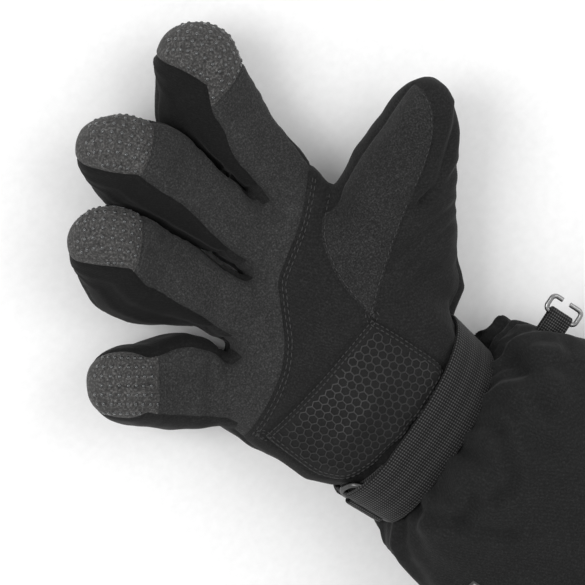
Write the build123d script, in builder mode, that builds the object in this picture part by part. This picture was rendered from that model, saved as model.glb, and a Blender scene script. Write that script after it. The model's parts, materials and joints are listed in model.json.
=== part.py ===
"""Ski glove for the right hand, lying on its back with the palm up and the fingers half curled.

+Y runs from the cuff to the fingertips, +X points to the thumb side and +Z out of the palm. The origin
is under the middle of the glove, on the surface that it lies on. Places are measured from the middle of
the wrist, where the strap goes round, and moved into the glove's frame by at().
"""

import os
from collections import namedtuple
from math import cos, radians, sin, tan

from build123d import *

os.makedirs("parts", exist_ok=True)

# ---------------------------------------------------------------- driving dimensions, millimetres
WRIST = (-8.143, -42.894, 33.0)  # middle of the wrist, seen from the glove's origin
SHELL = 2.2  # outer fabric with the foam behind it
WADDING = 2.0  # insulation over the back of the hand
LINING = 1.4  # fleece lining
LOOSE = 0.4  # play between two layers, and between two pieces that fold against each other

STRAP_WIDTH = 25.0
STRAP_THICK = 2.0
WRIST_HALF_WIDTH = 40.5
WRIST_HALF_THICK = 25.0
WRIST_TURN = 12.0  # degrees that the strap's line climbs towards the thumb
WRIST_LEAN = 12.0  # degrees that the strap's front droops towards the cuff
WRIST_HINGE = 18.0  # from the strap's middle to the line where the wrist bends
WRIST_FOLD = 20.0  # degrees of bend each way
WRIST_REACH = 40.0  # half height of the wedge that the wrist folds into
WRIST_WEDGE = 30.0  # its length

CUFF_LENGTH = 100.0  # from the strap's middle to the hem
HEM_WIDTH = 9.0
HEM_THICK = 0.8
PATCH_THICK = 1.4  # honeycomb patch on the heel of the hand

WEB_TO_HINGE = 11.0  # from the crotch between two fingers to the line where a finger bends
TIP_PATCH = 22.0  # length of the grip patch on a fingertip
FRONT_SPAN = 92.0  # degrees of a finger's girth that its suede face takes
SIDE_SPAN = 90.0  # degrees that its side wall takes
BASE_BEND = (-15.0, 50.0)  # back and forward travel of a finger at its base
MID_BEND = (-10.0, 60.0)
THUMB_BASE_BEND = (-10.0, 35.0)
THUMB_MID_BEND = (-10.0, 40.0)

Digit = namedtuple("Digit", "root heading rise_low rise_high low high radius roll side base_bend mid_bend")
DIGITS = {
    "index": Digit((31.5, 118.5, -15.5), 9.0, 5, 18, 38, 44, 15.5, 40, -1, BASE_BEND, MID_BEND),
    "middle": Digit((4.0, 110.8, -15.5), -12.1, 8, 25, 42, 51, 15.5, 34, -1, BASE_BEND, MID_BEND),
    "ring": Digit((-24.0, 93.4, -15.5), -17.7, 10, 28, 40, 46, 15.5, 36, -1, BASE_BEND, MID_BEND),
    "little": Digit((-51.5, 67.9, -15.5), -38.5, 12, 30, 31, 36, 14.5, 10, 1, (-15.0, 40.0), (-10.0, 40.0)),
}
THUMB = Digit((46.0, 60.0, -6.0), 55, 8, 14, 40, 38, 20.0, 20, -1, THUMB_BASE_BEND, THUMB_MID_BEND)
THUMB_WEB_TO_HINGE = 16.0
THUMB_PAD_SPAN = 150.0  # degrees of the thumb's girth that its suede pad takes
WIDE = 400.0  # wider than the whole glove
REACH = 90.0  # longer than any cut through the hand has to be


def at(x, y, z):
    """A place given from the middle of the wrist, in the glove's frame."""
    return Vector(WRIST[0] + x, WRIST[1] + y, WRIST[2] + z)


def frame(origin, heading, rise):
    """X across a finger, Y along it and Z out of its palm side."""
    a = radians(heading)
    e = radians(rise)
    across = Vector(cos(a), -sin(a), 0)
    along = Vector(sin(a) * cos(e), cos(a) * cos(e), sin(e))
    return Plane(origin=origin, x_dir=across, z_dir=across.cross(along))


def side_view(place):
    """The plane that cuts a finger's frame lengthwise: its X runs along, its Y out of the palm side."""
    return Plane(origin=place.origin, x_dir=place.y_dir, z_dir=place.x_dir)


def moved_along(place, distance):
    return Plane(origin=place.origin + place.y_dir * distance, x_dir=place.x_dir, z_dir=place.z_dir)


def cross_section(place):
    """The plane square to a frame's Y: its X runs across and its Y out of the palm side."""
    return Plane(origin=place.origin, x_dir=place.x_dir, z_dir=-place.y_dir)


def save(piece, label):
    """Names a finished piece and writes it."""
    piece.part.label = label
    export_step(piece.part, f"parts/{label}.step")


# ---------------------------------------------------------------- wrist frame
WRIST_FRAME = frame(at(0, 0, 0), -WRIST_TURN, WRIST_LEAN)
WRIST_HINGE_FRAME = moved_along(WRIST_FRAME, WRIST_HINGE)


def fold_slopes(bent_at_rest, travel):
    """How fast two tubes must draw back from the line they bend on, on the palm side and on the back."""
    front = tan(radians(max(0.0, bent_at_rest + travel[1])) / 2)
    back = tan(radians(max(0.0, -bent_at_rest - travel[0])) / 2)
    return front, back


# ---------------------------------------------------------------- finger walls
def wall(place, radius, start, end, first, span, folds, domed):
    """A strip of a finger's wall: its girth from angle first over span, its ends drawn back by folds.

    Angles are measured from the palm side towards the thumb. folds holds the slopes at the near end and
    at the far end, or None where the end is plain. domed rounds the far end off into a fingertip.
    """
    a = radians(first)
    outward = place.z_dir * cos(a) + place.x_dir * sin(a)
    inner = radius - SHELL
    with BuildPart() as strip:
        with BuildSketch(Plane(origin=place.origin, x_dir=outward, z_dir=outward.cross(place.y_dir))):
            with BuildLine():
                if domed:
                    crown = end - radius
                    slant = sin(radians(45))
                    Line((inner, start), (radius, start))
                    Line((radius, start), (radius, crown))
                    ThreePointArc((radius, crown), (radius * slant, crown + radius * slant), (0, end))
                    Line((0, end), (0, end - SHELL))
                    ThreePointArc((0, end - SHELL), (inner * slant, crown + inner * slant), (inner, crown))
                    Line((inner, crown), (inner, start))
                else:
                    Polyline((inner, start), (radius, start), (radius, end), (inner, end), close=True)
            make_face()
        revolve(axis=Axis(place.origin, place.y_dir), revolution_arc=span)
        low, high = folds
        edge = radius + 1
        near = (start, start, start)
        if low:
            near = (LOOSE + low[1] * edge, LOOSE, LOOSE + low[0] * edge)
        far = (end + 1, end + 1, end + 1)
        if high:
            far = (end - LOOSE - high[1] * edge, end - LOOSE, end - LOOSE - high[0] * edge)
        heights = (-edge, 0, edge)
        with BuildSketch(side_view(place)):
            outline = [*zip(near, heights), *reversed([*zip(far, heights)])]
            with BuildLine():
                Polyline(*outline, close=True)
            make_face()
        extrude(amount=edge, both=True, mode=Mode.INTERSECT)
    return strip


def digit_frames(digit, web_to_hinge=WEB_TO_HINGE):
    """A digit's frames at its root, at its base hinge and at its middle hinge, and its lower length."""
    root = frame(at(*digit.root), digit.heading, digit.rise_low)
    base = moved_along(root, web_to_hinge)
    middle = moved_along(root, digit.low)
    upper = frame(middle.origin, digit.heading, digit.rise_high)
    return root, base, upper, digit.low - web_to_hinge


def panel_angles(digit):
    """First angle and span of a finger's suede face, side wall and back."""
    front = digit.roll - FRONT_SPAN / 2
    back_span = 360 - FRONT_SPAN - SIDE_SPAN
    if digit.side < 0:
        return (front, FRONT_SPAN), (front - SIDE_SPAN, SIDE_SPAN), (front + FRONT_SPAN, back_span)
    side = front + FRONT_SPAN
    return (front, FRONT_SPAN), (side, SIDE_SPAN), (side + SIDE_SPAN, back_span)


def lining_tube(digit, web_to_hinge, start):
    """The fleece stall inside a digit: one tube from its root to its rounded tip."""
    root, base, upper, low = digit_frames(digit, web_to_hinge)
    radius = digit.radius - SHELL - LOOSE
    first = root.origin + root.y_dir * start
    crown = upper.origin + upper.y_dir * (digit.high - digit.radius)
    with BuildPart() as tube:
        with BuildLine():
            FilletPolyline(first, upper.origin, crown, radius=digit.radius * 1.5)
        with BuildSketch(cross_section(moved_along(root, start))):
            Circle(radius)
            Circle(radius - LINING, mode=Mode.SUBTRACT)
        sweep()
        with BuildSketch(Plane(origin=crown, x_dir=upper.z_dir, z_dir=upper.z_dir.cross(upper.y_dir))):
            slant = sin(radians(45))
            inner = radius - LINING
            with BuildLine():
                Line((inner, 0), (radius, 0))
                ThreePointArc((radius, 0), (radius * slant, radius * slant), (0, radius))
                Line((0, radius), (0, inner))
                ThreePointArc((0, inner), (inner * slant, inner * slant), (inner, 0))
            make_face()
        revolve(axis=Axis(crown, upper.y_dir), revolution_arc=360)
    return tube


def make_finger(name, digit):
    """One finger's lower and upper walls, its grip patch and its lining."""
    root, base, upper, low = digit_frames(digit)
    base_fold = fold_slopes(0, digit.base_bend)
    mid_fold = fold_slopes(digit.rise_high - digit.rise_low, digit.mid_bend)
    face, side, back = panel_angles(digit)
    ends = (base_fold, mid_fold)
    save(wall(base, digit.radius, 0, low, *face, ends, False), f"{name}_palm_face_lower")
    save(wall(base, digit.radius, 0, low, *side, ends, False), f"{name}_side_wall_lower")
    save(wall(base, digit.radius, 0, low, *back, ends, False), f"{name}_back_lower")
    ends = (mid_fold, None)
    patch_start = digit.high - TIP_PATCH
    save(wall(upper, digit.radius, 0, patch_start, *face, ends, False), f"{name}_palm_face_upper")
    save(wall(upper, digit.radius, patch_start, digit.high, *face, (None, None), True), f"{name}_tip_patch")
    save(wall(upper, digit.radius, 0, digit.high, *side, ends, True), f"{name}_side_wall_upper")
    save(wall(upper, digit.radius, 0, digit.high, *back, ends, True), f"{name}_back_upper")
    save(lining_tube(digit, WEB_TO_HINGE, 1.0), f"{name}_lining")


def make_thumb():
    """The thumb's suede pad and black back, each in two lengths, and its lining."""
    root, base, upper, low = digit_frames(THUMB, THUMB_WEB_TO_HINGE)
    base_fold = fold_slopes(0, THUMB.base_bend)
    mid_fold = fold_slopes(THUMB.rise_high - THUMB.rise_low, THUMB.mid_bend)
    pad = (THUMB.roll - THUMB_PAD_SPAN / 2, THUMB_PAD_SPAN)
    back = (THUMB.roll + THUMB_PAD_SPAN / 2, 360 - THUMB_PAD_SPAN)
    ends = (base_fold, mid_fold)
    save(wall(base, THUMB.radius, 0, low, *pad, ends, False), "thumb_pad_lower")
    save(wall(base, THUMB.radius, 0, low, *back, ends, False), "thumb_back_lower")
    ends = (mid_fold, None)
    save(wall(upper, THUMB.radius, 0, THUMB.high, *pad, ends, True), "thumb_pad_upper")
    save(wall(upper, THUMB.radius, 0, THUMB.high, *back, ends, True), "thumb_back_upper")
    save(lining_tube(THUMB, THUMB_WEB_TO_HINGE, 3.0), "thumb_lining")


# ---------------------------------------------------------------- hand
PALM_SECTIONS = [
    (WRIST_HINGE_FRAME, 41.0, 26.0),
    (frame(at(-8.0, 50.0, -4.5), -20.0, 0), 56.0, 26.0),
    (frame(at(-9.2, 93.2, -15.5), -30.9, 0), 63.0, 17.2),
]
THENAR_SECTIONS = [
    (frame(at(20.0, 42.0, -7.5), 55.0, 0), 27.0, 24.0),
    (digit_frames(THUMB, THUMB_WEB_TO_HINGE)[1], THUMB.radius, THUMB.radius),
]
# Where the suede of the palm meets the black panel: a wave from the index finger to the outer edge.
SUEDE_EDGE = [(56, 122), (27, 102), (3, 90), (-10, 72), (-30, 59), (-62, 50)]
WEB_CLEARANCE = 16.0  # how far the palm's lining and insulation stop before the finger roots
HEEL_PATCH = [(-53, 48), (18, 52), (24, 14), (0, 6), (-30, 6), (-48, 16)]
MID_SURFACE = Plane(origin=at(0, 18, 0), x_dir=Vector(1, 0, 0), z_dir=Vector(0, 0.17, 1))


def palm_loft(inset):
    """The hand from the wrist to the roots of the fingers, with its surface moved in by inset."""
    web_cap = inset + 0.8 if inset > 0 else 0
    with BuildPart() as palm:
        for place, half_width, half_thick in PALM_SECTIONS:
            last = place is PALM_SECTIONS[-1][0]
            section = moved_along(place, -web_cap) if last else place
            with BuildSketch(cross_section(section)):
                Ellipse(half_width - inset, half_thick - inset)
        loft()
    return palm


def thumb_root_loft(inset):
    """The ball of the thumb, from inside the palm to the thumb's base hinge."""
    with BuildPart() as thenar:
        for place, half_width, half_thick in THENAR_SECTIONS:
            with BuildSketch(cross_section(place)):
                Ellipse(half_width - inset, half_thick - inset)
        loft(ruled=True)
    return thenar


def hand_solid(inset):
    """The whole hand with its finger collars, with its surface moved in by inset."""
    with BuildPart() as hand:
        add(palm_loft(inset).part)
        add(thumb_root_loft(inset).part)
        for digit in DIGITS.values():
            root = digit_frames(digit)[0]
            with BuildSketch(cross_section(moved_along(root, WEB_TO_HINGE))):
                Circle(digit.radius - inset)
            extrude(amount=WEB_TO_HINGE + 12)
    return hand


def wrist_fold_outline(side):
    """The wedge taken off at the wrist's hinge: side is 1 for the hand's wedge and -1 for the cuff's."""
    draw_back = LOOSE + tan(radians(WRIST_FOLD) / 2) * WRIST_REACH
    far = -WRIST_WEDGE * side
    return [
        (draw_back * side, WRIST_REACH),
        (LOOSE * side, 0),
        (draw_back * side, -WRIST_REACH),
        (far, -WRIST_REACH),
        (far, WRIST_REACH),
    ]


def fold_wedges():
    """What is cut off the hand where the fingers, the thumb and the wrist fold against it."""
    with BuildPart() as wedges:
        hinges = [(digit_frames(d)[1], d.radius + 0.6, fold_slopes(0, d.base_bend)) for d in DIGITS.values()]
        thumb_base = digit_frames(THUMB, THUMB_WEB_TO_HINGE)[1]
        hinges.append((thumb_base, THUMB.radius + 1.5, fold_slopes(0, THUMB.base_bend)))
        for place, edge, (front, back) in hinges:
            with BuildSketch(side_view(place)):
                with BuildLine():
                    Polyline(
                        (-LOOSE - back * edge, -edge),
                        (-LOOSE, 0),
                        (-LOOSE - front * edge, edge),
                        (edge, edge),
                        (edge, -edge),
                        close=True,
                    )
                make_face()
            extrude(amount=edge, both=True)
        with BuildSketch(side_view(WRIST_HINGE_FRAME)):
            with BuildLine():
                Polyline(*wrist_fold_outline(1), close=True)
            make_face()
        extrude(amount=REACH, both=True)
    return wedges


def make_hand():
    """The palm's suede, its black panel, the back of the hand and what lies on and under them."""
    wedges = fold_wedges()
    outer = hand_solid(0)
    inner = hand_solid(SHELL)
    with BuildPart() as shell:
        add(outer.part)
        add(inner.part, mode=Mode.SUBTRACT)
        add(wedges.part, mode=Mode.SUBTRACT)

    with BuildSketch() as suede_area:
        with BuildLine():
            Spline(*SUEDE_EDGE)
            Polyline(SUEDE_EDGE[-1], (-150, 50), (-150, 190), (90, 190), (90, 122), SUEDE_EDGE[0])
        make_face()
    area_on_hand = MID_SURFACE * Pos(0, -18, 0) * suede_area.sketch

    with BuildPart() as palm_suede:
        add(shell.part)
        extrude(area_on_hand, amount=REACH, dir=MID_SURFACE.z_dir, mode=Mode.INTERSECT)
    save(palm_suede, "palm_suede")

    with BuildPart() as palm_panel:
        add(shell.part)
        with BuildSketch(MID_SURFACE):
            Rectangle(WIDE, WIDE)
        extrude(amount=REACH, mode=Mode.INTERSECT)
        extrude(area_on_hand, amount=REACH, dir=MID_SURFACE.z_dir, mode=Mode.SUBTRACT)
    save(palm_panel, "palm_panel")

    with BuildPart() as hand_back:
        add(shell.part)
        with BuildSketch(MID_SURFACE):
            Rectangle(WIDE, WIDE)
        extrude(amount=-REACH, mode=Mode.INTERSECT)
    save(hand_back, "hand_back")

    with BuildPart() as heel_patch:
        add(palm_loft(-PATCH_THICK).part)
        add(outer.part, mode=Mode.SUBTRACT)
        add(wedges.part, mode=Mode.SUBTRACT)
        with BuildSketch(MID_SURFACE):
            with Locations((0, -18)):
                Polygon(*HEEL_PATCH, align=None)
        extrude(amount=REACH, mode=Mode.INTERSECT)
    save(heel_patch, "heel_patch")

    with BuildPart() as wadding:
        add(palm_loft(SHELL).part)
        add(palm_loft(SHELL + WADDING).part, mode=Mode.SUBTRACT)
        add(wedges.part, mode=Mode.SUBTRACT)
        add(thumb_root_loft(0).part, mode=Mode.SUBTRACT)
        with BuildSketch(MID_SURFACE):
            Rectangle(WIDE, WIDE)
        extrude(amount=-REACH, mode=Mode.INTERSECT)
        with BuildSketch(moved_along(PALM_SECTIONS[-1][0], -WEB_CLEARANCE)):
            Rectangle(WIDE, WEB_CLEARANCE * 2, align=(Align.CENTER, Align.MIN))
        extrude(amount=REACH, both=True, mode=Mode.SUBTRACT)
    save(wadding, "hand_back_insulation")

    with BuildPart() as palm_lining:
        add(palm_loft(SHELL + WADDING + LOOSE).part)
        add(palm_loft(SHELL + WADDING + LOOSE + LINING).part, mode=Mode.SUBTRACT)
        add(thumb_root_loft(0).part, mode=Mode.SUBTRACT)
        with BuildSketch(moved_along(PALM_SECTIONS[-1][0], -WEB_CLEARANCE)):
            Rectangle(WIDE, WEB_CLEARANCE * 2, align=(Align.CENTER, Align.MIN))
        extrude(amount=REACH, both=True, mode=Mode.SUBTRACT)
    save(palm_lining, "palm_lining")


# ---------------------------------------------------------------- cuff
# Distance behind the strap's middle, half width and half height; each section's foot is on the surface.
CUFF_SECTIONS = [(24.0, 58.0, 35.0), (42.0, 64.0, 38.0), (CUFF_LENGTH, 74.0, 42.0)]
CUFF_SHIFT = 3.5  # the flare sits this far towards the thumb
NECK_END = 13.5
LABEL_SIZE = (14.0, 20.0)
LABEL_THICK = 0.9
LABEL_DISTANCE = 62.0  # from the strap's middle to the label's
LABEL_ACROSS = 54.0  # from the middle of the cuff to the label's, on the little finger's side


def cuff_place(distance, half_height):
    level = frame(at(0, 0, 0), -WRIST_TURN, 0)
    centre = level.origin - level.y_dir * distance + level.x_dir * CUFF_SHIFT
    return Plane(
        origin=Vector(centre.X, centre.Y, half_height + HEM_THICK), x_dir=level.x_dir, z_dir=level.z_dir
    )


def cuff_solid(inset):
    """The neck under the strap and the flare behind it, with their surface moved in by inset."""
    neck = (WRIST_HALF_WIDTH - inset, WRIST_HALF_THICK - inset)
    neck_end = moved_along(WRIST_FRAME, -NECK_END)
    with BuildPart() as cuff:
        with BuildSketch(cross_section(WRIST_HINGE_FRAME)):
            Ellipse(*neck)
        extrude(amount=WRIST_HINGE + NECK_END)
        with BuildSketch(cross_section(neck_end)):
            Ellipse(*neck)
        for distance, half_width, half_height in CUFF_SECTIONS:
            with BuildSketch(cross_section(cuff_place(distance, half_height))):
                Ellipse(half_width - inset, half_height - inset)
        loft(ruled=True)
    return cuff


def make_cuff():
    """The gauntlet: a palm side and a back joined at the side seams, its hem, lining and label."""
    outer = cuff_solid(0)
    hem_plane = cuff_place(CUFF_LENGTH, CUFF_SECTIONS[-1][2])
    with BuildPart() as shell:
        add(outer.part)
        add(cuff_solid(SHELL).part, mode=Mode.SUBTRACT)
        with BuildSketch(side_view(WRIST_HINGE_FRAME)):
            with BuildLine():
                Polyline(*wrist_fold_outline(-1), close=True)
            make_face()
        extrude(amount=REACH, both=True, mode=Mode.SUBTRACT)

    for label, side in (("cuff_palm_panel", REACH), ("cuff_back_panel", -REACH)):
        with BuildPart() as panel:
            add(shell.part)
            with BuildSketch(Plane(origin=at(0, 0, 0))):
                Rectangle(WIDE, WIDE)
            extrude(amount=side, mode=Mode.INTERSECT)
        save(panel, label)

    with BuildPart() as binding:
        add(cuff_solid(-HEM_THICK).part)
        add(outer.part, mode=Mode.SUBTRACT)
        with BuildSketch(cross_section(hem_plane)):
            Rectangle(WIDE, WIDE)
        extrude(amount=-HEM_WIDTH, mode=Mode.INTERSECT)
    save(binding, "hem_binding")

    with BuildPart() as lining:
        add(cuff_solid(SHELL + LOOSE).part)
        add(cuff_solid(SHELL + LOOSE + LINING).part, mode=Mode.SUBTRACT)
        with BuildSketch(cross_section(moved_along(WRIST_HINGE_FRAME, -LOOSE))):
            Rectangle(WIDE, WIDE)
        extrude(amount=-20, mode=Mode.SUBTRACT)
    save(lining, "cuff_lining")

    with BuildPart() as label:
        add(cuff_solid(-LABEL_THICK).part)
        add(outer.part, mode=Mode.SUBTRACT)
        with BuildSketch(cuff_place(LABEL_DISTANCE, CUFF_SECTIONS[-1][2])):
            with Locations((-LABEL_ACROSS, 0)):
                Rectangle(*LABEL_SIZE)
        extrude(amount=40, mode=Mode.INTERSECT)
    save(label, "woven_label")


# ---------------------------------------------------------------- wrist strap
RING_ANGLE = 152.0  # place of the ring on the wrist's girth: 0 at the thumb side, 90 on the palm side
RING_LENGTH = 33.0
RING_WIDTH = 14.0
RING_WIRE = 3.0
RING_PLAY = 1.0  # between the ring and the strap under it
ANCHOR_THICK = 0.9
ANCHOR_PLAY = 0.2  # between the ring's bar and the loop round it
ANCHOR_WIDTH = 18.0
TAIL = (182.0, 300.0)
TAPE = (225.0, 298.0)
TAPE_THICK = 0.8
TAPE_GAP = 0.3  # hooks and loops that mesh
TAIL_THICK = 1.6
TAIL_PLAY = 0.02


def band(start, end, inner, thick, width):
    """A strip of webbing round the wrist between two angles, inner millimetres outside its skin."""
    half_width = WRIST_HALF_WIDTH + inner
    half_thick = WRIST_HALF_THICK + inner
    step = (end - start) / 6
    rays = [(120 * cos(radians(start + step * n)), 120 * sin(radians(start + step * n))) for n in range(7)]
    with BuildPart() as strip:
        with BuildSketch(cross_section(moved_along(WRIST_FRAME, width / 2))):
            Ellipse(half_width + thick, half_thick + thick)
            Ellipse(half_width, half_thick, mode=Mode.SUBTRACT)
            Polygon((0, 0), *rays, align=None, mode=Mode.INTERSECT)
        extrude(amount=width)
    return strip


def ring_frame():
    """A frame on the strap's outside: X runs round the wrist, Y along the hand and Z away from it."""
    out = LOOSE + STRAP_THICK + RING_WIRE / 2 + RING_PLAY
    a = radians(RING_ANGLE)
    half_width = WRIST_HALF_WIDTH + out
    half_thick = WRIST_HALF_THICK + out
    away = (WRIST_FRAME.x_dir * (cos(a) / half_width) + WRIST_FRAME.z_dir * (sin(a) / half_thick)).normalized()
    centre = WRIST_FRAME.origin + WRIST_FRAME.x_dir * half_width * cos(a) + WRIST_FRAME.z_dir * half_thick * sin(a)
    return Plane(origin=centre + WRIST_FRAME.y_dir * 1.5, x_dir=WRIST_FRAME.y_dir.cross(away), z_dir=away)


def tail_root():
    """Where the strap's tail leaves the ring's side of the wrist, and turns when it is peeled off."""
    out = LOOSE + STRAP_THICK + 2 * TAPE_THICK + TAPE_GAP + TAIL_THICK / 2
    a = radians(TAIL[0])
    across = WRIST_FRAME.x_dir * ((WRIST_HALF_WIDTH + out) * cos(a))
    return WRIST_FRAME.origin + across + WRIST_FRAME.z_dir * ((WRIST_HALF_THICK + out) * sin(a))


def make_strap():
    """The wrist strap, the metal ring that it doubles back through, its tail and the tapes that hold it."""
    save(band(-52, RING_ANGLE + 14, LOOSE, STRAP_THICK, STRAP_WIDTH), "wrist_strap")
    save(band(RING_ANGLE + 16, 306, LOOSE, STRAP_THICK, STRAP_WIDTH), "strap_back")
    outside = LOOSE + STRAP_THICK
    save(band(*TAPE, outside, TAPE_THICK, STRAP_WIDTH - 3), "strap_loop_tape")
    hooks = outside + TAPE_THICK + TAPE_GAP
    save(band(*TAPE, hooks, TAPE_THICK, STRAP_WIDTH - 3), "tail_hook_tape")
    save(band(*TAIL, hooks + TAPE_THICK + TAIL_PLAY, TAIL_THICK, STRAP_WIDTH - 1), "strap_tail")

    place = ring_frame()
    with BuildPart() as ring:
        with BuildLine():
            corners = ((-0.5, -0.5), (0.5, -0.5), (0.5, 0.5), (-0.5, 0.5))
            middle_width = RING_WIDTH - RING_WIRE
            middle_length = RING_LENGTH - RING_WIRE
            FilletPolyline(
                *[place.from_local_coords((u * middle_width, v * middle_length, 0)) for u, v in corners],
                close=True,
                radius=4,
            )
        long_bar = place.origin + place.x_dir * middle_width / 2
        with BuildSketch(Plane(origin=long_bar, x_dir=place.x_dir, z_dir=place.y_dir)):
            Circle(RING_WIRE / 2)
        sweep()
    save(ring, "strap_ring")

    bar = place.origin - place.x_dir * (RING_WIDTH - RING_WIRE) / 2
    with BuildPart() as anchor:
        with BuildSketch(Plane(origin=bar - place.y_dir * ANCHOR_WIDTH / 2, x_dir=place.x_dir, z_dir=place.y_dir)):
            Circle(RING_WIRE * 0.75 + ANCHOR_PLAY + ANCHOR_THICK)
            Circle(RING_WIRE * 0.75 + ANCHOR_PLAY, mode=Mode.SUBTRACT)
        extrude(amount=ANCHOR_WIDTH)
        inside = -5.0
        under = band(RING_ANGLE, RING_ANGLE + 40, inside, LOOSE + STRAP_THICK + TAIL_PLAY - inside, STRAP_WIDTH + 5)
        add(under.part, mode=Mode.SUBTRACT)
    save(anchor, "ring_anchor")


# ---------------------------------------------------------------- pairing tab on the cuff
TAB_WIDTH = 11.0
TAB_LENGTH = 12.0
TAB_THICK = 1.4
TAB_DISTANCE = 28.0  # from the strap's middle to the tab's
TAB_HEIGHT = 38.0
TAB_ROOT = 59.2  # from the middle of the cuff to where the loop starts, inside its wall
HOOK_WIRE = 2.2
HOOK_BAR = -2.7  # the hook's inner bar, from the loop's outer end


def tab_place():
    """The middle of the tab's loop, and a level frame whose X points away from the cuff."""
    side = cuff_place(TAB_DISTANCE, TAB_HEIGHT)
    return side.origin + side.x_dir * (TAB_ROOT + TAB_LENGTH / 2), side


def make_tab():
    """The webbing loop on the thumb side of the cuff and the small hook that hangs in it."""
    middle, side = tab_place()
    with BuildPart() as loop:
        with BuildSketch(Plane(origin=middle - side.y_dir * TAB_WIDTH / 2, x_dir=side.x_dir, z_dir=side.y_dir)):
            SlotOverall(TAB_LENGTH, 6)
            SlotOverall(TAB_LENGTH - 2 * TAB_THICK, 6 - 2 * TAB_THICK, mode=Mode.SUBTRACT)
        extrude(amount=TAB_WIDTH)
        add(cuff_solid(0).part, mode=Mode.SUBTRACT)
    save(loop, "tab_loop")

    end = middle + side.x_dir * TAB_LENGTH / 2
    with BuildPart() as hook:
        with BuildLine():
            route = ((4.5, 3), (4.5, 7.8), (HOOK_BAR, 7.8), (HOOK_BAR, -7.8), (4.5, -7.8), (4.5, -1))
            FilletPolyline(*[end + side.x_dir * x + side.y_dir * y for x, y in route], radius=2.2)
        with BuildSketch(Plane(origin=end + side.x_dir * 4.5 + side.y_dir * 3, z_dir=side.y_dir)):
            Circle(HOOK_WIRE / 2)
        sweep()
    save(hook, "tab_hook")


for finger_name, finger in DIGITS.items():
    make_finger(finger_name, finger)
make_thumb()
make_hand()
make_cuff()
make_strap()
make_tab()
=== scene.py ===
"""Looks of the ski glove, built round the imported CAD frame.

The outer skin is one closed surface, taken from a distance field of the filled glove and then cut into
its panels along smooth lines, so that neighbouring panels share their edge. Lengths in the functions are
millimetres in the row frame, and become metres when a mesh is made.
"""

import json
from collections import namedtuple

import bpy
import numpy as np
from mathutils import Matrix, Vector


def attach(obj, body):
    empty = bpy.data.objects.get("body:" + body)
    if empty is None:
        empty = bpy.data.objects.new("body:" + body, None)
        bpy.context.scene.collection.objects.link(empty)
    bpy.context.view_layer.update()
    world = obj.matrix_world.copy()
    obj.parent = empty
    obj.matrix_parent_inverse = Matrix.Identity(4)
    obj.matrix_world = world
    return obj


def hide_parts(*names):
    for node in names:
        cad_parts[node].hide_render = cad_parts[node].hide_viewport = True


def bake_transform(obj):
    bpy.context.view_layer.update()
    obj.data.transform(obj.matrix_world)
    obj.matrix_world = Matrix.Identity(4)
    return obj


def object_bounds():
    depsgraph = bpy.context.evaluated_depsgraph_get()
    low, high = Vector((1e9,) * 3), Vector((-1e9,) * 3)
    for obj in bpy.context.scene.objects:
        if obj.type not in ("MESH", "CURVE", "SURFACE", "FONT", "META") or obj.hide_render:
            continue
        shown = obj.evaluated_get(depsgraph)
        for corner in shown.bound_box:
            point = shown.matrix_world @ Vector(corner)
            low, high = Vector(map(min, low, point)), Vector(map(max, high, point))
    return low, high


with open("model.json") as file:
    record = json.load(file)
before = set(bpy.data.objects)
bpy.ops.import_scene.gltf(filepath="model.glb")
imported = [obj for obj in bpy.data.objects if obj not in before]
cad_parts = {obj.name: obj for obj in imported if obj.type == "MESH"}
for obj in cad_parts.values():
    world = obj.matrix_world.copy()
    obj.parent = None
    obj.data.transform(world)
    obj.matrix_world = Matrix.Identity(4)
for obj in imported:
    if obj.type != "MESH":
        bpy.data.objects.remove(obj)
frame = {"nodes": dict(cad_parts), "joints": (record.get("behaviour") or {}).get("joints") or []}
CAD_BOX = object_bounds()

import openvdb
from mathutils import Matrix, Vector
from mathutils.bvhtree import BVHTree
from mathutils.kdtree import KDTree

MM = 0.001
VOXEL = 1.2

# ---------------------------------------------------------------- places
Place = namedtuple("Place", "o x y z")
# A digit's root and heading, the rise and length of its two halves, its half width and depth, its roll and
# the share of it at the root, and the side its wall is on. folds: where the base bend starts and ends, where
# the two lengths part, and where the middle bend starts and ends. bow: sideways at its middle and its tip.
# swell: the most, its start, its length and the share of the digit where it eases. patch: its tip's length.
Digit = namedtuple("Digit", "root heading rise_low rise_high low high across deep roll twist side folds bow "
                            "swell patch")
JOINTS = {j["name"]: j for j in frame["joints"]}
WRIST_TURN, WRIST_LEAN, WRIST_HINGE = -12, 12, 18.0


def place(origin, heading, rise):
    """X across, Y along and Z out of the palm side, as in the CAD source."""
    a, e = np.radians(heading), np.radians(rise)
    x = np.array([np.cos(a), -np.sin(a), 0.0])
    y = np.array([np.sin(a) * np.cos(e), np.cos(a) * np.cos(e), np.sin(e)])
    return Place(np.array(origin, float), x, y, np.cross(x, y))


def moved(p, ahead, sideways=0.0):
    return p._replace(o=p.o + p.y * ahead + p.x * sideways)


def local(points, p):
    q = points - p.o
    return q @ p.x, q @ p.y, q @ p.z


def smooth(t):
    t = np.clip(t, 0, 1)
    return t * t * (3 - 2 * t)


hinge = place(np.array(JOINTS["wrist_bend"]["pos_m"]) / MM, WRIST_TURN, WRIST_LEAN)
WRIST = moved(hinge, -WRIST_HINGE)


def at(x, y, z):
    """A place given from the middle of the wrist."""
    return WRIST.o + np.array([x, y, z], float)


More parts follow.
